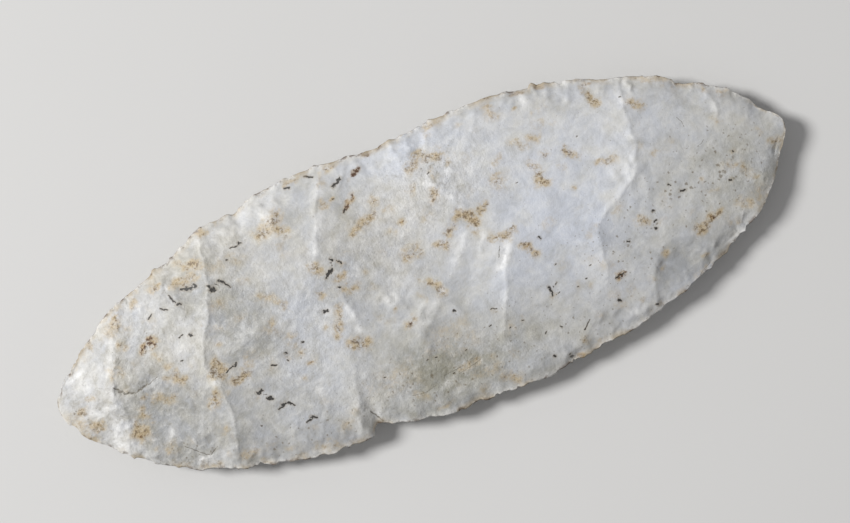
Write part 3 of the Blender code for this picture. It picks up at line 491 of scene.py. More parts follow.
RUST_STAINS = marks(Stain, [
    (0.9, 0.7, -70.2, 5, -67.4, 6), (0.6, 0.55, -55, -7.4), (0.6, 0.5, -79.2, -14.6),
    (0.6, 0.6, -33.2, -12.2), (0.7, 1, -7, 26.8, -5.8, 27.4), (0.8, 1, -3, 30.2),
    (0.6, 1, -12.6, 19, -11.6, 20), (0.4, 0.9, -10.2, 21, -9.6, 21.6), (0.5, 0.6, -19.3, 3.9),
    (0.6, 0.5, 16.4, 5.6), (0.5, 0.55, 6.8, 2.3), (0.5, 0.6, 20.2, -1.9), (0.5, 0.55, 25.2, -5.6),
    (0.4, 0.7, -0.6, 11.1), (0.8, 0.9, 28.6, -35), (0.6, 0.6, 70.2, -14.9), (0.6, 0.6, -7.4, -12.2),
    (0.7, 0.7, -48, 27), (0.6, 0.8, 35.4, 31.4, 37.4, 30.8), (0.6, 0.7, 41.6, 30.4, 43.4, 29.8),
    (0.6, 0.7, 44, -19.9, 45.4, -19.7), (0.6, 0.6, 52.4, 26.8, 54, 26.4), (0.4, 0.6, 53.6, 23.6),
])

# Keen crests, small steps and lit facets that are whitened, partly crushed white and partly a painted
# highlight.
CRUSHED_AND_HIGHLIT = marks(Stain, [
    (0.8, 1, 21, -3.2, 19.4, -5.6, 17.4, -8), (0.5, 0.7, 22.6, -2.2, 21.4, -3.4),
    (0.9, 0.45, 13, 3.4, 11, 0.4, 8.6, -2.8), (0.6, 0.4, 17, 1, 14.4, -3), (0.6, 0.5, 12.6, 13, 14.6, 9.8),
    (0.8, 0.5, 8, 20, 9.8, 17.4), (0.5, 0.7, 14.5, 19.2, 14.2, 17.8),
    (0.5, 0.55, -20.4, -3.4, -19.6, -6, -19.4, -10), (0.6, 0.9, -22.3, 11.4, -21.9, 13.8),
    (0.5, 0.55, -21.4, 14.8, -18, 20.4, -16.6, 26), (0.5, 0.5, -10.6, -4.6, -10.4, -6.8, -10.8, -9.4),
    (0.4, 0.6, -8.4, -4, -8.8, -5.6), (0.7, 0.55, 0, -10, -2.6, -11.8, -4.2, -14),
    (0.6, 0.5, 2.8, -6.4, 3.4, -8.6), (0.7, 0.2, 16.4, -14, 15.2, -19, 13.2, -25),
    (0.4, 0.6, -90.3, 4, -87, 5), (1.2, 0.6, -84.4, -13.2, -83, -17), (0.6, 0.4, -81.4, -8, -81.6, -12),
    (0.7, 0.4, -77, 9.6, -77.8, 5.2, -79.6, 1.6), (0.9, 0.5, -87.4, -5, -85, -5.2),
    (1, 0.75, -64.6, -25.4, -66.8, -26.4), (0.7, 0.7, -72.6, -17.6, -71.4, -16.8),
    (0.7, 0.8, -57.2, -9, -56.2, -9.6), (0.4, 0.6, -60.2, 16.6, -60, 15.4), (0.8, 0.75, 57, 0, 56.2, 2.2),
    (0.6, 0.5, 54.4, 2.8, 55.4, 0.8), (0.6, 0.8, 60.1, 19.8, 60.4, 18.6), (1, 0.8, 37.4, 29.4, 37.6, 28),
    (0.7, 0.8, 62.4, 24, 62.4, 22.2), (0.6, 0.55, 44, -29.2, 44.6, -32.4),
    (0.6, 0.55, 47.2, -29, 48.6, -31.4), (0.6, 0.6, 80.8, 11, 80.4, 9), (0.6, 0.45, -34.2, -19, -33.6, -21),
    (0.8, 0.7, -67.2, -25.6, -64.6, -26.4), (0.8, 0.6, -84.4, -16.6, -83.2, -12, -82.6, -7),
    (0.6, 0.5, 1.4, 11.2, 2.4, 12.8), (1.4, 0.55, -31.4, 28.6, -31, 24.4),
    (1, 0.5, -26.6, -1.4, -24.4, -3.6, -27.6, -5),
])

# Where the skin changes from place to place, as x, y, the reaches along and across, and how strongly.
PATCHES = {
    # Where dark specks are thick in the skin.
    "specks": [
        (64, -8, 16, 8, 0.85), (80, -3, 10, 9, 0.6), (-46, -29, 14, 4, 0.7), (-24, -29, 14, 5, 0.45),
        (6, -30, 20, 5, 0.6), (36, -29, 10, 5, 0.55), (46, -15, 10, 7, 0.6), (-91, -4, 4, 4, 0.9),
        (-75, 14, 5, 3, 0.5), (9, 23, 6, 4, 0.5), (-66, -27, 9, 3, 0.5), (16, -20, 10, 5, 0.35),
        (-54, 18, 6, 4, 0.5), (-36, -10, 6, 5, 0.3), (-68, 6, 8, 6, 0.3), (74, 3, 10, 6, 0.25),
        (-6, -24, 16, 8, 0.45), (-70, -22, 10, 5, 0.4),
    ],
    # Where the skin is roughest and most soiled.
    "rough": [
        (-78, -2, 22, 30, 1), (10, 18, 14, 9, 1), (-12, 5, 16, 12, 0.6), (-10, -26, 24, 8, 0.5),
        (-46, 8, 12, 20, 0.5), (82, -8, 12, 10, 0.5), (-34, -10, 12, 18, 0.4), (2, -28, 24, 8, 0.5),
        (-68, -24, 14, 5, 0.4),
    ],
    # Broad tints of the patina, then patches of painted shade and of painted light.
    "cream": [
        (-70, 2, 24, 18, 0.4), (-52, 20, 14, 8, 0.7), (-86, -6, 12, 10, 0.3), (0, 12, 26, 10, 0.35),
    ],
    "cool": [
        (34, 6, 26, 20, 0.9), (45, -4, 18, 16, 0.5), (62, -26, 10, 6, 0.6), (4, 27, 14, 5, 0.9),
        (-30, -12, 12, 14, 0.6), (16, -10, 10, 8, 0.5), (-88, 2, 6, 6, 0.4), (10, -31, 10, 5, 0.7),
        (-30, 5, 8, 8, 0.25), (-68, 11, 8, 6, 0.4), (68, 12, 10, 7, 0.4),
    ],
    "olive": [
        (-4, -26, 16, 11, 0.9), (18, -30, 14, 8, 0.25), (80, -6, 14, 12, 0.5), (60, -10, 12, 8, 0.3),
    ],
    # Painted shade: a grey that darkens places which the light leaves dim.
    "painted_shade": [
        (-70, -14, 12, 9, 1), (-40, -20, 16, 10, 0.3), (0, -23, 16, 12, 0.58), (-56, 14, 6, 8, 1),
        (-46, 12, 8, 18, 0.6), (-76, -8, 5, 4, 0.6), (62, -23, 9, 4, 0.9), (-68, 8, 8, 8, 0.3),
        (-74, 0, 4, 5, 0.5), (-43, -5, 8, 3, 0.4), (-76, -10, 5, 5, 0.4), (-55, -21, 5, 8, 0.5),
        (-50, 20, 4, 5, 0.5), (-45, 1, 8, 7, 0.9), (-70, -16, 9, 7, 0.4), (-4, -16, 5, 4, 0.3),
        (-70, -25, 12, 5, 0.5), (-24, 20, 7, 7, 0.5), (-14, 20, 6, 6, 0.4),
    ],
    # Painted light: a pale tint that lightens slopes and facets which face away from the lamp.
    "painted_light": [
        (-86, 2, 8, 8, 0.4), (16, 0, 6, 8, 0.8), (54, 2, 8, 10, 0.4), (44, 18, 30, 12, 0.35),
        (72, -2, 24, 18, 0.45), (-82, -14, 3, 5, 0.5), (28, 8, 20, 12, 0.3), (-30, -14, 8, 8, 0.6),
        (-4, -12, 7, 4, 0.6), (-26, -28, 4, 6, 1), (-84, 3, 4, 7, 0.3), (-70, 11, 7, 6, 0.5),
        (-26.5, -28.5, 3, 6, 0.5), (86, 0, 8, 7, 0.3), (70, -10, 9, 6, 0.4), (10, -31, 10, 5, 0.3),
        (0, 26, 10, 4, 0.3), (18, -5, 5, 5, 0.4), (-10, 0, 8, 5, 0.3),
    ],
}
# The underside has specks and roughness all over, this strong.
FACE_ONLY = ("specks", "rough")
UNDER_STRENGTH = 0.3


def half_length():
    """Half the blank's length, with what the retouch takes off."""
    return LENGTH / 2 + EDGE_LOSS


def half_width(side):
    """The blank's half width above the axis (1) or below it (-1), with what the retouch takes off."""
    share = np.where(np.asarray(side) > 0, UPPER_SHARE, 1 - UPPER_SHARE)
    return WIDTH * share + EDGE_LOSS


def ease(share):
    """Goes from 0 to 1 with no corner at either end."""
    share = np.clip(share, 0, 1)
    return share**2 * (3 - 2 * share)


def axis_y(x):
    """The axis falls toward -Y at the blunt point, and a little at the sharp one."""
    share = x / half_length()
    return -BLUNT_DROP / 2 * (1 - share) - SHARP_DROP * ease((share - DROP_START) / (1 - DROP_START))


def edge_factor(x, side):
    """How far the edge stands out or falls short at x, as a factor of the half width."""
    place = x / half_length()
    factor = np.ones_like(place)
    for swell in EDGE_SWELLS:
        here = np.sign(side) == swell.side
        factor += here * swell.amount * np.exp(-(((place - swell.place) / swell.spread) ** 2))
    return factor


def edge_y(x, side):
    """The blank's edge at x."""
    u = np.clip(np.abs(x) / half_length(), 0, 1)
    plain = half_width(side) * (1 - u**POINT_POWER) ** (1 / SIDE_POWER)
    return axis_y(x) + side * plain * edge_factor(x, side)


def blank_height(x, y):
    """Half the blank's thickness, which is zero along its edge and negative outside it."""
    across = y - axis_y(x)
    side = np.where(across > 0, 1, -1)
    reach = half_width(side) * edge_factor(x, side)
    fullness = (np.abs(x) / half_length()) ** POINT_POWER + (np.abs(across) / reach) ** SIDE_POWER
    return THICKNESS / 2 * (1 - fullness**SECTION_POWER)


def inwardness(blank):
    """From 0 on the blank's edge to 1 where it is no longer thin."""
    return np.clip(blank / (THIN_SHARE * THICKNESS / 2), 0, 1)


def swayed(x, y, seed, waves):
    """Moves points to and fro on waves that run any way, each given by its turns and its height."""
    rng = np.random.default_rng(seed)
    moved = x.copy(), y.copy()
    for turns, height in waves:
        for values in moved:
            way, phase = rng.uniform(0, 2 * math.pi, 2)
            values += height * np.sin(turns * (x * math.cos(way) + y * math.sin(way)) + phase)
    return moved


def waver(x, y):
    """Moves points a little, so that arrises and scars don't run too evenly."""
    octaves = range(WAVER_COUNT)
    waves = [(2 * math.pi * WAVER_STEP**octave / WAVER_PITCH, WAVER / 2**octave) for octave in octaves]
    return swayed(x, y, WAVER_SEED, waves)


def frayed(x, y, size):
    """Moves points in millimetres to and fro over a few millimetres."""
    return swayed(x, y, FRAY_SEED, [(2 * math.pi / wave, size * wave) for wave in FRAY_WAVES])


def strayed(x, y):
    """Moves points as waver does, and by some tenths of a millimetre more away from the thin edge."""
    slow_x, slow_y = waver(x, y)
    fine_x, fine_y = frayed(x / MM, y / MM, ARRIS_FRAY)
    inward = inwardness(blank_height(x, y))
    return slow_x + inward * (fine_x * MM - x), slow_y + inward * (fine_y * MM - y)


def halfway(x, y, moved):
    """Points halfway from where they were to where they were moved."""
    return (x + moved[0]) / 2, (y + moved[1]) / 2


def smooth_path(points, steps=5):
    """A Catmull-Rom curve through the points."""
    points = np.array(points)
    points = np.vstack([2 * points[0] - points[1], points, 2 * points[-1] - points[-2]])
    path = []
    for a, b, c, d in zip(points, points[1:], points[2:], points[3:]):
        for step in range(steps):
            t = step / steps
            path.append(b + 0.5 * t * (c - a + t * (2 * a - 5 * b + 4 * c - d + t * (3 * (b - c) + d - a))))
    path.append(points[-2])
    return np.array(path)


def arris_path(arris):
    """The smooth path of an arris, in metres from the middle of the blank."""
    return smooth_path(arris.path) * [LENGTH / 2, WIDTH / 2]


def around(path, reach, x, y):
    """Which points lie in the box around a path."""
    low, high = path.min(axis=0) - reach, path.max(axis=0) + reach
    return (x > low[0]) & (x < high[0]) & (y > low[1]) & (y < high[1])


def from_stretch(start, end, x, y, least=0.0):
    """How far along a straight stretch each point is, from 0 to 1, and how far it is off it in x and y."""
    run = np.subtract(end, start)
    t = np.clip(((x - start[0]) * run[0] + (y - start[1]) * run[1]) / (run @ run + least), 0, 1)
    return t, x - start[0] - t * run[0], y - start[1] - t * run[1]


def beside(path, left, right, fades, x, y):
    """From 1 on a path to 0 away from it, falling over the spreads to both sides and toward its ends."""
    near = around(path, SPREADS_OUT * max(left, right), x, y)
    x, y = x[near], y[near]
    most = np.zeros_like(x)
    for index, (start, end) in enumerate(zip(path, path[1:])):
        run = end - start
        t, off_x, off_y = from_stretch(start, end, x, y)
        distance = np.hypot(off_x, off_y) + 1e-9
        to_left = (1 + (run[0] * off_y - run[1] * off_x) / np.hypot(*run) / distance) / 2
        spread = left * to_left + right * (1 - to_left)
        along = (index + t) / (len(path) - 1)
        strength = np.ones_like(x)
        for share, fade in zip((along, 1 - along), fades):
            if fade:
                strength *= ease(share / fade)
        worn = np.hypot(distance, CREST_WEAR) - CREST_WEAR
        most = np.maximum(most, strength * np.exp(-worn / spread))
    share = np.zeros(len(near))
    share[near] = most
    return share


def arris_height(arris, x, y):
    """The height an arris adds: sharp along its path and hollow down both sides."""
    left, right = ARRIS_SPREAD * arris.left, ARRIS_SPREAD * arris.right
    share = beside(arris_path(arris), left, right, (arris.fade_in, arris.fade_out), x, y)
    return ARRIS_HEIGHT * arris.height * share


def scar_depth(scar, x, y):
    """How deep a scar cuts: deepest at its bulb, just in from the edge, running out, and hollow across."""
    start_x = scar.place * half_length()
    start_y = float(edge_y(np.array([start_x]), scar.side)[0])
    heading = math.radians(scar.turn - 90 * scar.side)
    run = (x - start_x) * math.cos(heading) + (y - start_y) * math.sin(heading)
    off = (y - start_y) * math.cos(heading) - (x - start_x) * math.sin(heading)
    near = np.hypot(run, off) < scar.reach * RETOUCH_REACH + scar.width * RETOUCH_PITCH
    run, off = run[near], off[near]
    share = run / (scar.reach * RETOUCH_REACH)
    lead = ease(share / BULB_SHARE)
    fade = np.maximum(share - BULB_SHARE, 0) / (1 - BULB_SHARE)
    floor = PLATFORM_DEPTH + (1 - PLATFORM_DEPTH) * lead
    half = scar.width * RETOUCH_PITCH / 2 * (PLATFORM_WIDTH + BULB_WIDENING * lead)
    hollow = floor - fade**scar.ending - np.abs(off / half) ** HOLLOW_POWER
    depth = np.zeros(len(near))
    depth[near] = scar.depth * RETOUCH_DEPTH * hollow
    return depth


def deepest(scars, x, y):
    """How deep the deepest scar cuts at each point."""
    depth = np.zeros_like(x)
    for scar in scars:
        depth = np.maximum(depth, scar_depth(scar, x, y))
    return depth


def retouch_scars(seed, size=1.0):
    """Small scars along both sides of one face, each struck about square to the edge."""
    rng = np.random.default_rng(seed)
    scars = []
    for side in (1, -1):
        x = -RETOUCH_SPAN * LENGTH / 2
        while x < RETOUCH_SPAN * LENGTH / 2:
            here = size * (1 - POINT_SHRINK * (2 * abs(x) / LENGTH) ** 4)
            step = here * rng.uniform(*RETOUCH_STEP)
            ends = edge_y(np.array([x - MM, x + MM]), side)
            slope = math.degrees(math.atan2(ends[1] - ends[0], 2 * MM))
            turn = slope + rng.uniform(*RETOUCH_TURN)
            reach = here * rng.uniform(*REACH_RANGE)
            width = step * rng.uniform(*WIDTH_RANGE)
            depth = here * rng.uniform(*DEPTH_RANGE)
            scars.append(Scar(x / half_length(), side, turn, reach, width, depth, RETOUCH_ENDING))
            x += step * RETOUCH_PITCH
    return scars


def under_arrises():
    """The plainer arrises of the underside, struck from each edge in turn."""
    rng = np.random.default_rng(UNDER_SEED)
    arrises = []
    for index in range(UNDER_SCARS):
        side = 1 if index % 2 else -1
        place = -UNDER_SPAN / 2 + UNDER_SPAN * (index + rng.uniform(*UNDER_PLACE)) / UNDER_SCARS
        lean = rng.uniform(*UNDER_LEAN) * side
        far = rng.uniform(*UNDER_FAR)
        path = []
        for share in (0, 0.33, 0.67, 1):
            across = side * (1 + (far - 1) * share)
            path.append((place + lean * share * 2 + rng.uniform(*UNDER_BEND), across))
        height, left, right = (rng.uniform(*span) for span in (UNDER_HEIGHT, UNDER_SPREAD, UNDER_SPREAD))
        arrises.append(Arris(height, left, right, 0, UNDER_FADE, path))
    return arrises


def edge_wave(x, y):
    """How far the edge weaves up and down, because it was struck from both faces in turn."""
    turns = 2 * math.pi / EDGE_WAVE_PITCH
    across = (y - axis_y(x)) / WIDTH
    return EDGE_WAVE * sum(
        share * np.sin(times * turns * x + lean * across + phase) for share, times, lean, phase in EDGE_WAVES
    )


def face_relief(x, y, arrises, scar_rows, facing):
    """The height of one face, facing up (1) or down (-1), above the blade's middle plane."""
    shape = x.shape
    x, y = x.ravel(), y.ravel()
    blank = blank_height(x, y)
    inward = inwardness(blank)
    strength = ARRIS_AT_EDGE + (1 - ARRIS_AT_EDGE) * inward
    weave = facing * edge_wave(x, y) * (1 - inward) ** 2
    moved = strayed(x, y)
    half = halfway(x, y, moved)
    raised = sum(arris_height(arris, *half) for arris in arrises)
    cut = sum(deepest(scars, *moved) for scars in scar_rows)
    return (blank + weave + strength * raised - cut).reshape(shape)


def ripple_height(ripple, x, y):
    """Waves that run out over a fan from where a flake was struck, and die away at its sides and ends."""
    run = np.hypot(x - ripple.x * MM, y - ripple.y * MM) / MM
    turned = np.degrees(np.arctan2(y - ripple.y * MM, x - ripple.x * MM)) - ripple.way
    turned = (turned + 180) % 360 - 180
    width = (ripple.far - ripple.near) / 3
    ends = ease((run - ripple.near) / width) * ease((ripple.far - run) / width)
    sides = ease((ripple.fan - np.abs(turned)) / (0.5 * ripple.fan))
    return ripple.height * MM * ends * sides * np.sin(2 * math.pi * run / ripple.wave)


def crest_share(arrises, x, y):
    """From 1 on the crest of a sharp arris to 0 away from it, and less where the arris is low or blunt."""
    half = halfway(x, y, strayed(x, y))
    most = np.zeros_like(x)
    for arris in arrises:
        sharp = np.clip(2 * arris.height / max(arris.left, arris.right) - 0.5, 0, 1)
        share = beside(arris_path(arris), CREST_LEFT, CREST_RIGHT, (arris.fade_in, arris.fade_out), *half)
        most = np.maximum(most, sharp * share)
    return most


def retouch_ridges():
    """Short ridges, each running down the picture, that stand between the small scars along both edges."""
    rng = np.random.default_rng(RIDGE_SEED)
    ridges = []
    for side in (-1, 1):
        x = -RIDGE_SPAN
        while x < RIDGE_SPAN:
            edge = (edge_y(np.array([x * MM]), side)[0] - MARKS_DROP) / MM - RIDGE_INSET * side
            long, lean = rng.uniform(*RIDGE_LENGTH), rng.uniform(*RIDGE_LEAN)
            bend = (x + 0.2 * long * lean, edge - 0.5 * long * side)
            path = [(x, edge), bend, (x + long * lean, edge - long * side)]
            sizes = [rng.uniform(*span) for span in (RIDGE_HEIGHT, RIDGE_LEFT, RIDGE_RIGHT)]
            ridges.append(Rib(*sizes, path[::side]))
            x += rng.uniform(*RIDGE_SPACING)
    return ridges


def fine_relief(x, y):
    """The keener crests, ribs, hackles, steps, cracks and ripples of the photographed face."""
    half = halfway(x, y, strayed(x, y))
    fine_x, fine_y = frayed(x / MM, y / MM, ARRIS_FRAY)
    height = CREST_RISE * crest_share(FACE_ARRISES, x, y)
    for rib in RIBS + retouch_ridges():
        path = smooth_path(rib.path) * MM + [0, MARKS_DROP]
        share = beside(path, rib.left * MM, rib.right * MM, RIB_FADES, fine_x * MM, fine_y * MM)
        height += rib.height * MM * share
    for ripple in RIPPLES:
        height += ripple_height(ripple, *half)
    return height


def point_x(toward, thickness):
    """Where the blade's point is, found by walking inward along the axis to where both faces meet."""
    x = toward * (half_length() - np.arange(0, RIM_SEARCH, RIM_STEP / 10))
    return x[np.argmax(thickness(x, axis_y(x)) > 0)]


def rim(x, side, thickness):
    """The edge at x, found by walking inward from outside the blank to where both faces meet."""
    outside, axis = edge_y(x, side), axis_y(x)
    depth = np.minimum(RIM_SEARCH, np.abs(outside - axis))
    walk = np.linspace(-RIM_OUTSIDE, 1, round((1 + RIM_OUTSIDE) * RIM_SEARCH / RIM_STEP))
    y = outside[:, None] - side * depth[:, None] * walk
    through = thickness(np.repeat(x[:, None], len(walk), axis=1), y)
    inside = len(walk) - 1 - np.argmax(through[:, ::-1] <= 0, axis=1)
    row, after = np.arange(len(x)), np.minimum(inside + 1, len(walk) - 1)
    share = through[row, inside] / (through[row, inside] - through[row, after] - 1e-12)
    return y[row, inside] + share * (y[row, after] - y[row, inside])


def crowd(share, amount):
    """Moves shares from -1 to 1 toward both ends, so that the cells are finer there."""
    return share * (1 + amount * (1 - share**2))


def outline(thickness):
    """Columns along the blade, with the edge on both sides of each."""
    ends = [point_x(-1, thickness), point_x(1, thickness)]
    share = np.linspace(-1, 1, 2 * CELLS_ALONG + 1)
    columns = (ends[0] + ends[1]) / 2 + (ends[1] - ends[0]) / 2 * crowd(share, CROWD_ALONG)
    tips = axis_y(np.array(ends))
    low, high = (
        np.concatenate([tips[:1], rim(columns[1:-1], side, thickness), tips[1:]]) for side in (-1, 1)
    )
    return share, columns, low, high


def lift(vertices, from_edge, edges, face, other, extra, sign):
    """Spreads a square sheet of vertices between the edges, lifts it to its face's relief, and keeps how
    many millimetres each vertex is from the edge."""
    along, across = np.array([vertex.co[:2] for vertex in vertices]).T
    share, columns, low, high = edges
    x, bottom, top = (np.interp(along, share, values) for values in (columns, low, high))
    y = (top + bottom) / 2 + (top - bottom) / 2 * crowd(across, CROWD_ACROSS)
    mine, theirs = face(x, y), other(x, y)
    border = np.maximum(np.abs(along), np.abs(across))
    inward = np.clip((1 - border) * CELLS_ACROSS / 2, 0, 1)
    half = np.maximum((mine + theirs) / 2, LEAST_HALF_THICKNESS * inward)
    half = np.where(border > 1 - 1e-6, 0, half)
    middle = sign * (mine - theirs) / 2
    z = middle + sign * (half + extra(x, y) * np.clip(half / MM, 0, 1))
    edge_distance = np.minimum(top - y, y - bottom) / MM
    for vertex, place, distance in zip(vertices, np.column_stack([x, y, z]), edge_distance):
        vertex.co = place
        vertex[from_edge] = distance


def blade_mesh():
    """The blade as one closed mesh, and how far it was moved from the blank's frame into the part's."""
    (face_seed, face_nick_seed), (under_seed, under_nick_seed) = RETOUCH_SEEDS
    face_rows = [FACE_SCARS + retouch_scars(face_seed), retouch_scars(face_nick_seed, NICK_SHARE)]
    under_rows = [retouch_scars(under_seed), retouch_scars(under_nick_seed, NICK_SHARE)]
    hidden_arrises = under_arrises()

    def face(x, y):
        return face_relief(x, y, FACE_ARRISES, face_rows, 1)

    def under(x, y):
        return face_relief(x, y, hidden_arrises, under_rows, -1)

    edges = outline(lambda x, y: face(x, y) + under(x, y))
    bm = bmesh.new()
    upper = bm.verts.layers.float.new("upper")
    from_edge = bm.verts.layers.float.new("from_edge")
    bmesh.ops.create_grid(bm, x_segments=CELLS_ALONG // 2, y_segments=CELLS_ACROSS // 2, size=1)
    border = [edge for edge in bm.edges if edge.is_boundary]
    bmesh.ops.subdivide_edges(bm, edges=border, cuts=1)
    lift(list(bm.verts), from_edge, edges, under, face, lambda x, y: 0, -1)
    sheet = bmesh.ops.create_grid(bm, x_segments=CELLS_ALONG, y_segments=CELLS_ACROSS, size=1)["verts"]
    lift(sheet, from_edge, edges, face, under, fine_relief, 1)
    for vertex in sheet:
        vertex[upper] = 1
    bmesh.ops.remove_doubles(bm, verts=bm.verts, dist=0.001 * MM)
    bmesh.ops.recalc_face_normals(bm, faces=bm.faces)
    bmesh.ops.triangulate(bm, faces=bm.faces)

    places = np.array([vertex.co for vertex in bm.verts])
    low, high = places.min(axis=0), places.max(axis=0)
    shift = Vector((-(low[0] + high[0]) / 2, -(low[1] + high[1]) / 2, -low[2] - REST_CUT))
    bmesh.ops.translate(bm, verts=bm.verts, vec=shift)
    # The lowest spots are cut flat where the blade rests on them.
    for vertex in bm.verts:
        vertex.co.z = max(vertex.co.z, 0)
    mesh = bpy.data.meshes.new("bipointed_blade_stone")
    bm.to_mesh(mesh)
    bm.free()
    mesh.shade_smooth()
    return mesh, shift


def offset_to_lines(lines, x, y):
    """The offset from each point to the nearest line, in millimetres divided by the line's width. Its third
    part grows away from the line, so that its length isn't zero where the nearest line changes."""
    nearest = np.full((len(x), 3), FAR)
    least = np.full(len(x), FAR)
    for width, path in lines:
        for start, end in zip(path, path[1:]):
            _, off_x, off_y = from_stretch(start, end, x, y)
            off_x, off_y = off_x / width, off_y / width
            distance = np.hypot(off_x, off_y)
            closer = distance < least
            least[closer] = distance[closer]
            away = LINE_RISE * np.maximum(distance - LINE_REACH, 0)
            nearest[closer] = np.column_stack([off_x, off_y, away])[closer]
    return nearest


def stain_strength(stains, x, y):
    """How strongly the stains mark each point."""
    strength = np.zeros_like(x)
    x, y = frayed(x, y, STAIN_FRAY)
    for stain in stains:
        path = np.array(stain.path + stain.path[-1:])
        reach = STAIN_SPREAD * stain.reach
        near = around(path, REACHES_OUT * reach, x, y)
        distance = np.full(near.sum(), FAR)
        for start, end in zip(path, path[1:]):
            _, off_x, off_y = from_stretch(start, end, x[near], y[near], 1e-9)
            distance = np.minimum(distance, np.hypot(off_x, off_y))
        strength[near] = np.maximum(strength[near], stain.strength * np.exp(-((distance / reach) ** 2)))
    return strength


def patch_strength(patches, x, y):
    """How strongly the patches mark each point."""
    strength = np.zeros_like(x)
    for at_x, at_y, along, across, most in patches:
        strength += most * np.exp(-(((x - at_x) / along) ** 2) - ((y - at_y) / across) ** 2)
    return np.clip(strength, 0, 1)


def short_line(x, y, long, way):
    """A straight path from a place that is drawn in toward the axis near the blade's points."""
    y *= 1 - (x / POINTS_AT) ** 2
    return [(x, y), (x + long * math.cos(way), y + long * math.sin(way))]


def under_marks():
    """Dendrites and stains for the underside, fewer and plainer than the face's."""
    rng = np.random.default_rng(UNDER_MARKS_SEED)
    dendrites, tan = [], []
    for _ in range(UNDER_DENDRITES):
        spans = LINE_PLACE[0], ANY_WAY, LINE_PLACE[1], LINE_LONG
        x, way, y, long = (rng.uniform(*span) for span in spans)
        dendrites.append(Streak(rng.uniform(*LINE_WIDTH), short_line(x, y, long, way)))
    for _ in range(UNDER_STAINS):
        x, y, long, way = (rng.uniform(*span) for span in (*SPOT_PLACE, SPOT_LONG, ANY_WAY))
        reach, strength = rng.uniform(*SPOT_REACH), rng.uniform(*SPOT_STRENGTH)
        tan.append(Stain(reach, strength, short_line(x, y, long, way)))
    rust = [Stain(RUST_SHARE * stain.reach, RUST_STRENGTH, stain.path) for stain in tan[:UNDER_RUST]]
    return dendrites, tan, rust


def keep(mesh, name, values):
    """Keeps a number or a vector for each vertex, for the material or the node tree to read."""
    kind, field = ("FLOAT", "value") if values.ndim == 1 else ("FLOAT_VECTOR", "vector")
    attribute = mesh.attributes.new(name, kind, "POINT")
    attribute.data.foreach_set(field, values.astype(np.float32).ravel())


def mark(mesh, shift):
    """Keeps where the stone is stained, tinted, worn and thin, and where shade and light are painted on it.
    """
    places = np.zeros(3 * len(mesh.vertices))
    mesh.vertices.foreach_get("co", places)
    places = places.reshape(-1, 3)
    x, y = (places[:, 0] - shift.x) / MM, (places[:, 1] - shift.y - MARKS_DROP) / MM
    upper = np.zeros(len(x))
    mesh.attributes["upper"].data.foreach_get("value", upper)
    face = upper > 0.5

    under_dendrites, under_tan, under_rust = under_marks()
    for name, lines, under_lines in (("dendrite", DENDRITES, under_dendrites), ("crack", CRACKS, [])):
        offsets = [offset_to_lines(here, x, y) for here in (lines, under_lines)]
        keep(mesh, name, np.where(face[:, None], *offsets))
    for name, stains, under_stains in (
        ("crushed_and_highlit", CRUSHED_AND_HIGHLIT, []), ("tan", TAN_STAINS, under_tan), ("rust", RUST_STAINS, under_rust),
    ):
        keep(mesh, name, np.where(face, stain_strength(stains, x, y), stain_strength(under_stains, x, y)))
    blank_x, blank_y = x * MM, y * MM + MARKS_DROP
    crests = [crest_share(arrises, blank_x, blank_y) for arrises in (FACE_ARRISES, under_arrises())]
    keep(mesh, "crest", np.where(face, *crests))
    for name, patches in PATCHES.items():
        strength = patch_strength(patches, x, y)
        keep(mesh, name, np.where(face, strength, UNDER_STRENGTH) if name in FACE_ONLY else strength)


def linear(hex_colour):
    """An sRGB hex colour as linear RGBA."""
    shares = [int(hex_colour[place : place + 2], 16) / 255 for place in (1, 3, 5)]
    turned = [share / 12.92 if share <= 0.04045 else ((share + 0.055) / 1.055) ** 2.4 for share in shares]
    return (*turned, 1.0)


def add(tree, kind, inputs=None, out=None, **settings):
    """Adds a node with its settings, fills its inputs with values or links, and gives back an output."""
    node = tree.nodes.new(kind)
    for name, value in settings.items():
        setattr(node, name, value)
    sockets = {socket.identifier: socket for socket in node.inputs}
    for name, value in (inputs or {}).items():
        if isinstance(value, bpy.types.NodeSocket):
            tree.links.new(value, sockets[name])
        else:
            sockets[name].default_value = value
    shown = [socket for socket in node.outputs if socket.enabled and out in (None, socket.identifier)]
    return shown[0] if shown else node


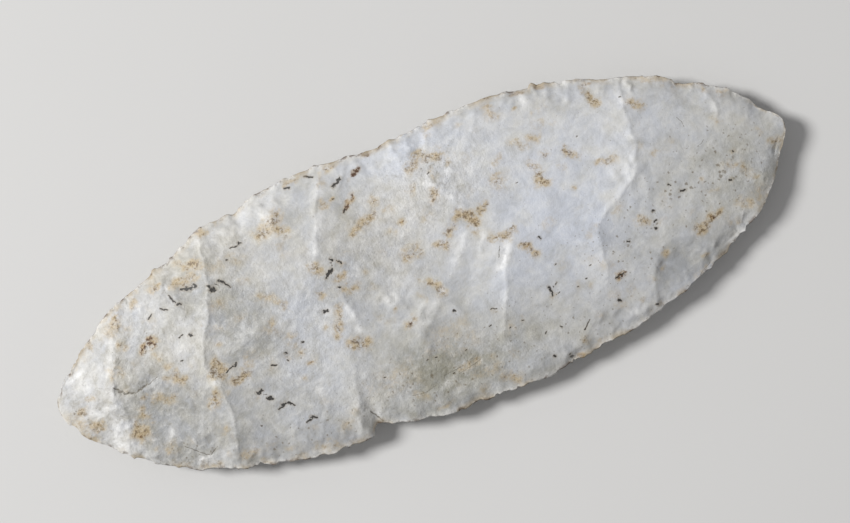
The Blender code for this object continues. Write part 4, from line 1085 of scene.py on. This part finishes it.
def weathered_skin():
    """A node tree that roughens a stone's surface: low lumps between the arrises and small leached pits."""
    tree = bpy.data.node_groups.new("weathered_skin", "GeometryNodeTree")
    tree.interface.new_socket("Geometry", in_out="INPUT", socket_type="NodeSocketGeometry")
    for name, value in SKIN_SIZES.items():
        socket = tree.interface.new_socket(name, in_out="INPUT", socket_type="NodeSocketFloat")
        socket.default_value = value
    tree.interface.new_socket("Stone", in_out="INPUT", socket_type="NodeSocketMaterial")
    tree.interface.new_socket("Geometry", in_out="OUTPUT", socket_type="NodeSocketGeometry")
    given = tree.nodes.new("NodeGroupInput").outputs

    lump_scale, pit_scale = (
        add(tree, "ShaderNodeMath", {"Value": 1.0, "Value_001": given[name]}, operation="DIVIDE")
        for name in ("Lump size", "Pit spacing")
    )
    inputs = {"Scale": lump_scale, "W": given["Seed"], "Detail": 3.0, "Roughness": 0.55}
    lumps = add(tree, "ShaderNodeTexNoise", inputs, noise_dimensions="4D")
    inputs = {"Scale": pit_scale, "W": given["Seed"], "Randomness": 1.0}
    cells = add(tree, "ShaderNodeTexVoronoi", inputs, voronoi_dimensions="4D")
    inputs = {"Value": cells, "From Min": 0.08, "From Max": 0.34, "To Min": 1.0, "To Max": 0.0}
    hollow = add(tree, "ShaderNodeMapRange", inputs, interpolation_type="SMOOTHSTEP")
    centred = add(tree, "ShaderNodeMath", {"Value": lumps, "Value_001": 0.5}, operation="SUBTRACT")
    raised, pits = (
        add(tree, "ShaderNodeMath", {"Value": shape, "Value_001": given[size]}, operation="MULTIPLY")
        for shape, size in ((centred, "Lump height"), (hollow, "Pit depth"))
    )
    height = add(tree, "ShaderNodeMath", {"Value": raised, "Value_001": pits}, operation="SUBTRACT")
    from_edge = add(tree, "GeometryNodeInputNamedAttribute", {"Name": "from_edge"}, data_type="FLOAT")
    inputs = {"Value": from_edge, "Value_001": given["Edge margin"]}
    inward = add(tree, "ShaderNodeMath", inputs, operation="DIVIDE", use_clamp=True)
    kept = add(tree, "ShaderNodeMath", {"Value": height, "Value_001": inward}, operation="MULTIPLY")
    normal = add(tree, "GeometryNodeInputNormal")
    offset = add(tree, "ShaderNodeVectorMath", {"Vector": normal, "Scale": kept}, operation="SCALE")
    moved = add(tree, "GeometryNodeSetPosition", {"Geometry": given["Geometry"], "Offset": offset})
    real = add(tree, "GeometryNodeRealizeInstances", {"Geometry": moved})
    finished = add(tree, "GeometryNodeSetMaterial", {"Geometry": real, "Material": given["Stone"]})
    tree.links.new(finished, tree.nodes.new("NodeGroupOutput").inputs["Geometry"])
    return tree


def made_real(obj):
    """Turns an object with its modifiers into a plain mesh."""
    depsgraph = bpy.context.evaluated_depsgraph_get()
    mesh = bpy.data.meshes.new_from_object(obj.evaluated_get(depsgraph), depsgraph=depsgraph)
    obj.modifiers.clear()
    obj.data = mesh


def new_material(name):
    """A material with its node tree and its shader."""
    material = bpy.data.materials.new(name)
    material.use_nodes = True
    return material, material.node_tree, material.node_tree.nodes["Principled BSDF"]


def chert():
    """White-patinated chert: flint-like stone whose flaked skin has leached to a pale, waxy, satin white."""
    material, tree, shader = new_material("white_patinated_chert")
    place = add(tree, "ShaderNodeTexCoord", out="Object")
    marked = {
        name: add(tree, "ShaderNodeAttribute", attribute_name=name, out="Fac")
        for name in (*PATCHES, "crest", "crushed_and_highlit", "tan", "rust", "from_edge")
    }

    # The noises behind the patterns, each with the size of its largest forms in millimetres. The wisps are
    # drawn out along the blade, and two noises give three numbers each, to shake a pattern with.
    turned = add(tree, "ShaderNodeVectorRotate", {"Vector": place, "Angle": -0.3}, rotation_type="Z_AXIS")
    inputs = {"Vector": turned, "Vector_001": (0.45, 1.0, 1.0)}
    drawn = add(tree, "ShaderNodeVectorMath", inputs, operation="MULTIPLY")
    ridged = {"noise_type": "RIDGED_MULTIFRACTAL"}
    noises = {}
    for name, size, inputs, settings in (
        ("clouds", 16.0, {"Detail": 4.0}, {}),
        ("veins", 6.0, {"Detail": 8.0, "Roughness": 0.7, "Distortion": 0.8}, {}),
        ("hues", 5.0, {"Detail": 4.0, "Roughness": 0.6, "W": 2.0}, {"noise_dimensions": "4D"}),
        ("wisps", 1.6, {"Vector": drawn, "Detail": 6.0, "Roughness": 0.65, "Distortion": 0.5}, {}),
        ("silt", 7.0, {"Detail": 5.0, "Roughness": 0.65, "W": 4.0}, {"noise_dimensions": "4D"}),
        ("mottle", 2.6, {"Detail": 7.0, "Roughness": 0.7, "Distortion": 0.4}, {}),
        ("coarse", 2.2, {"Detail": 5.0, "Roughness": 0.75}, {}),
        ("fine", 0.8, {"Detail": 5.0, "Roughness": 0.75}, {}),
        ("chance", 1.8, {"Detail": 2.0}, {}),
        ("shaken", 0.7, {"Detail": 2.0}, {"out": "Color"}),
        ("ragged", 0.8, {"Detail": 4.0}, {"out": "Color"}),
        ("stretches", 7.0, {"Detail": 4.0, "Roughness": 0.6}, {}),
        ("nicks", 2.5, {"Detail": 4.0, "Roughness": 0.6}, {}),
        ("grain", 1.6, {"Detail": 6.0, "Roughness": 0.7}, {}),
        ("folds", 5.0, {"Detail": 5.0, "Roughness": 0.6, "Distortion": 0.6}, ridged),
    ):
        inputs = {"Vector": place, "Scale": 1 / (size * MM), **inputs}
        noises[name] = add(tree, "ShaderNodeTexNoise", inputs, **settings)

    # Clouds in the patina.
    inputs = {"Value": noises["clouds"], "From Min": 0.36, "From Max": 0.64}
    amount = add(tree, "ShaderNodeMapRange", inputs, interpolation_type="SMOOTHSTEP")
    layers = [(amount, "#cbcac7")]

    # The broad tints, each read from the mesh, the last two being painted shade and painted light.
    for name, tint, most in (
        ("cream", "#cdc6b8", 0.75),
        ("cool", "#c7cdda", 0.75),
        ("olive", "#a8a698", 0.70),
        # Painted shade, then painted light.
        ("painted_shade", "#999996", 0.72),
        ("painted_light", "#dddcd9", 0.60),
    ):
        inputs = {"Value": marked[name], "Value_001": most}
        layers.append((add(tree, "ShaderNodeMath", inputs, operation="MULTIPLY"), tint))

    # Tints that a noise spreads, between two of its values and up to a strength, some only where a mark is.
    # Crests whitened partly by wear and partly as a painted highlight on their lit side.
    inputs = {"Value": marked["crest"], "Value_001": noises["veins"]}
    noises["rubbed_and_highlit"] = add(tree, "ShaderNodeMath", inputs, operation="MULTIPLY")
    for noise, where, low, high, tint, most in (
        # Veins and threads in the patina, from 6 mm down to the finest that show.
        ("veins", None, 0.50, 0.80, "#efeeeb", 0.55),
        ("veins", None, 0.50, 0.20, "#85847b", 0.45),
        # Warmer and cooler places.
        ("hues", None, 0.50, 0.70, "#cfc6a9", 0.24),
        ("hues", None, 0.50, 0.30, "#bcc3d2", 0.30),
        # Wisps that the flaking left along the blade, some 3.5 mm long and 1.6 mm wide.
        ("wisps", None, 0.52, 0.76, "#efeeea", 0.24),
        ("wisps", None, 0.48, 0.24, "#88857a", 0.22),
        # Silt has settled unevenly where the skin is olive.
        ("silt", "olive", 0.46, 0.60, "#8a8672", 0.60),
        ("silt", "olive", 0.50, 0.36, "#c6c6c6", 0.55),
        # Bleached and soiled flecks, most where the skin is rough.
        ("mottle", "rough", 0.52, 0.72, "#f2f1ee", 0.68),
        ("mottle", "rough", 0.48, 0.28, "#8a836f", 0.68),
        # Crests rubbed white and lit by a painted highlight, and places crushed white and painted as
        # highlights.
        ("rubbed_and_highlit", None, 0.25, 0.60, "#eeedea", 0.35),
        ("mottle", "crushed_and_highlit", 0.30, 0.60, "#fbfaf8", 0.90),
    ):
        inputs = {"Value": noises[noise], "From Min": low, "From Max": high, "To Min": 0.0, "To Max": most}
        amount = add(tree, "ShaderNodeMapRange", inputs)
        if where:
            inputs = {"Value": amount, "Value_001": marked[where]}
            amount = add(tree, "ShaderNodeMath", inputs, operation="MULTIPLY")
        layers.append((amount, tint))

    # Stains break up into grains: silt stains are a yellowish wash with brown cores, iron ones rust-brown.
    for name, grains, tint, low, high, most in (
        ("tan", "coarse", "#c3af8a", 0.02, 0.76, 0.80),
        ("tan", "fine", "#8f754e", 0.18, 0.80, 0.58),
        ("tan", "fine", "#4f3e2a", 0.42, 0.80, 0.60),
        ("rust", "coarse", "#a08050", 0.04, 0.50, 0.50),
        ("rust", "fine", "#4a2b0a", 0.22, 0.50, 0.95),
    ):
        inputs = {"Value": noises[grains], "From Min": 0.33, "From Max": 0.63}
        uneven = add(tree, "ShaderNodeMapRange", inputs)
        inputs = {"Value": marked[name], "Value_001": uneven}
        broken = add(tree, "ShaderNodeMath", inputs, operation="MULTIPLY")
        inputs = {"Value": broken, "From Min": low, "From Max": high, "To Min": 0.0, "To Max": most}
        amount = add(tree, "ShaderNodeMapRange", inputs, interpolation_type="SMOOTHSTEP")
        layers.append((amount, tint))

    # Specks of silt and manganese, mostly some 0.4 mm across, here thick and there few.
    inputs = {"Vector": noises["shaken"], "Vector_001": (0.9 * MM,) * 3, "Vector_002": place}
    moved = add(tree, "ShaderNodeVectorMath", inputs, operation="MULTIPLY_ADD")
    cells = add(tree, "ShaderNodeTexVoronoi", {"Vector": moved, "Scale": 1 / (1.25 * MM), "Randomness": 1.0})
    more = add(tree, "ShaderNodeMath", {"Value": marked["specks"], "Value_001": 0.10}, operation="ADD")
    inputs = {"Value": noises["chance"], "From Min": 0.37, "From Max": 0.68, "To Min": 0.0, "To Max": 0.345}
    reach = add(tree, "ShaderNodeMapRange", inputs)
    speck = add(tree, "ShaderNodeMath", {"Value": reach, "Value_001": more}, operation="MULTIPLY")
    inside = add(tree, "ShaderNodeMath", {"Value": speck, "Value_001": cells}, operation="SUBTRACT")
    inputs = {"Value": inside, "From Min": -0.12, "From Max": 0.04, "To Min": 0.0, "To Max": 0.60}
    layers.append((add(tree, "ShaderNodeMapRange", inputs), "#6b5b41"))

    # Dendrites and cracks are lines that a fine noise makes ragged, the dendrites with a faint brown halo.
    inputs = {"Vector": noises["ragged"], "Vector_001": (0.5, 0.5, 0.5)}
    wobble = add(tree, "ShaderNodeVectorMath", inputs, operation="SUBTRACT")
    for name, tint, sway, inner, outer, most in (
        ("crack", "#5d5443", 0.9, 0.08, 0.24, 0.75),
        ("dendrite", "#8f8068", 1.3, 0.20, 0.80, 0.45),
        ("dendrite", "#262421", 1.3, 0.18, 0.38, 0.95),
    ):
        line = add(tree, "ShaderNodeAttribute", attribute_name=name, out="Vector")
        inputs = {"Vector": wobble, "Vector_001": (sway, sway, 0.0), "Vector_002": line}
        swayed_line = add(tree, "ShaderNodeVectorMath", inputs, operation="MULTIPLY_ADD")
        away = add(tree, "ShaderNodeVectorMath", {"Vector": swayed_line}, out="Value", operation="LENGTH")
        inputs = {"Value": away, "From Min": inner, "From Max": outer, "To Min": most, "To Max": 0.0}
        amount = add(tree, "ShaderNodeMapRange", inputs, interpolation_type="SMOOTHSTEP")
        layers.append((amount, tint))

    # The thin edge is chipped white, and silt has stayed in it here and there.
    for grains, tint, low, high, reach, most in (
        ("fine", "#ebe8e1", 0.42, 0.54, 1.6, 0.65),
        ("stretches", "#a38e66", 0.47, 0.58, 1.8, 0.70),
        ("nicks", "#5c452e", 0.54, 0.62, 1.0, 0.90),
    ):
        inputs = {"Value": marked["from_edge"], "From Max": reach, "To Min": most, "To Max": 0.0}
        near = add(tree, "ShaderNodeMapRange", inputs)
        kept = add(tree, "ShaderNodeMapRange", {"Value": noises[grains], "From Min": low, "From Max": high})
        amount = add(tree, "ShaderNodeMath", {"Value": near, "Value_001": kept}, operation="MULTIPLY")
        layers.append((amount, tint))

    # Each layer goes over those before it.
    colour = linear("#b9b9b8")
    for amount, tint in layers:
        inputs = {"Factor_Float": amount, "A_Color": colour, "B_Color": linear(tint)}
        colour = add(tree, "ShaderNodeMix", inputs, data_type="RGBA")

    # Satin, a little duller where the patina is pale, with a crisp grain that runs from 5 mm down.
    inputs = {"Value": noises["veins"], "From Min": 0.3, "From Max": 0.7, "To Min": 0.42, "To Max": 0.58}
    roughness = add(tree, "ShaderNodeMapRange", inputs)
    rough = noises["grain"]
    for name, share in (("folds", 0.25), ("wisps", 0.2)):
        inputs = {"Value": noises[name], "Value_001": share, "Value_002": rough}
        rough = add(tree, "ShaderNodeMath", inputs, operation="MULTIPLY_ADD")
    deeper = add(tree, "ShaderNodeMapRange", {"Value": marked["rough"], "To Min": 0.8, "To Max": 2.2})
    height = add(tree, "ShaderNodeMath", {"Value": rough, "Value_001": deeper}, operation="MULTIPLY")
    bump = add(tree, "ShaderNodeBump", {"Height": height, "Distance": 0.20 * MM, "Strength": 1.0})
    for name, value in (("Base Color", colour), ("Roughness", roughness), ("Normal", bump)):
        tree.links.new(value, shader.inputs[name])
    shader.inputs["IOR"].default_value = 1.54
    shader.inputs["Metallic"].default_value = 0.0
    return material


def floor_board():
    """Matte painted board: pale, plain and flat, with the faintest unevenness of a rolled coat."""
    material, tree, shader = new_material("matte_painted_board")
    place = add(tree, "ShaderNodeTexCoord", out="Object")
    coat = add(tree, "ShaderNodeTexNoise", {"Vector": place, "Scale": 1 / (120 * MM), "Detail": 2.0})
    inputs = {"Factor_Float": coat, "A_Color": linear("#d6d5d3"), "B_Color": linear("#dad9d7")}
    tree.links.new(add(tree, "ShaderNodeMix", inputs, data_type="RGBA"), shader.inputs["Base Color"])
    shader.inputs["Roughness"].default_value = 0.9
    return material


def placed(name, data):
    """An object in the scene, at the origin."""
    made = bpy.data.objects.new(name, data)
    bpy.context.scene.collection.objects.link(made)
    return made


def floor():
    """A plain pale floor."""
    mesh = bpy.data.meshes.new("floor")
    bm = bmesh.new()
    bmesh.ops.create_grid(bm, x_segments=1, y_segments=1, size=FLOOR_REACH)
    bm.to_mesh(mesh)
    bm.free()
    mesh.materials.append(floor_board())
    placed("floor", mesh)


def light():
    """A broad soft light from beyond the blunt point and the +Y edge, and a pale surround."""
    toward = Vector(KEY_WAY) * math.cos(math.radians(KEY_RISE))
    toward.z = math.sin(math.radians(KEY_RISE))
    data = bpy.data.lights.new("window", "AREA")
    data.shape = "DISK"
    data.size = KEY_SIZE
    data.energy = KEY_POWER
    lamp = placed("window", data)
    lamp.location = toward * KEY_DISTANCE
    lamp.rotation_euler = toward.to_track_quat("Z", "Y").to_euler()
    world = bpy.data.worlds.new("surround")
    world.use_nodes = True
    sky = world.node_tree.nodes["Background"].inputs
    sky["Color"].default_value = linear("#f6f6f8")
    sky["Strength"].default_value = SURROUND
    bpy.context.scene.world = world


def camera():
    """A camera that looks straight down on the blade."""
    data = bpy.data.cameras.new("camera")
    data.lens = LENS
    data.sensor_width = SENSOR
    data.clip_start = NEAREST_SEEN
    eye = placed("camera", data)
    eye.location = (*VIEW_MIDDLE, FACE_HEIGHT + VIEW_WIDTH * data.lens / data.sensor_width)
    eye.rotation_euler = Euler((0, 0, math.radians(CAMERA_TURN)))
    bpy.context.scene.camera = eye


def main():
    """Makes the blade, which replaces the plain solid, and sets the stage."""
    mesh, shift = blade_mesh()
    mark(mesh, shift)
    blade = placed("bipointed_blade_stone", mesh)
    skin = blade.modifiers.new("weathered_skin", "NODES")
    skin.node_group = weathered_skin()
    for item in skin.node_group.interface.items_tree:
        if item.in_out == "INPUT" and item.name == "Stone":
            skin[item.identifier] = chert()
    made_real(blade)
    # The skin is kept within the solid's own height.
    for vertex in blade.data.vertices:
        vertex.co.z = min(max(vertex.co.z, 0), cad_box[1][2])
    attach(blade, "root")
    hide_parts("bipointed_blade")
    floor()
    light()
    camera()
    bpy.context.scene.view_settings.view_transform = "Standard"


main()
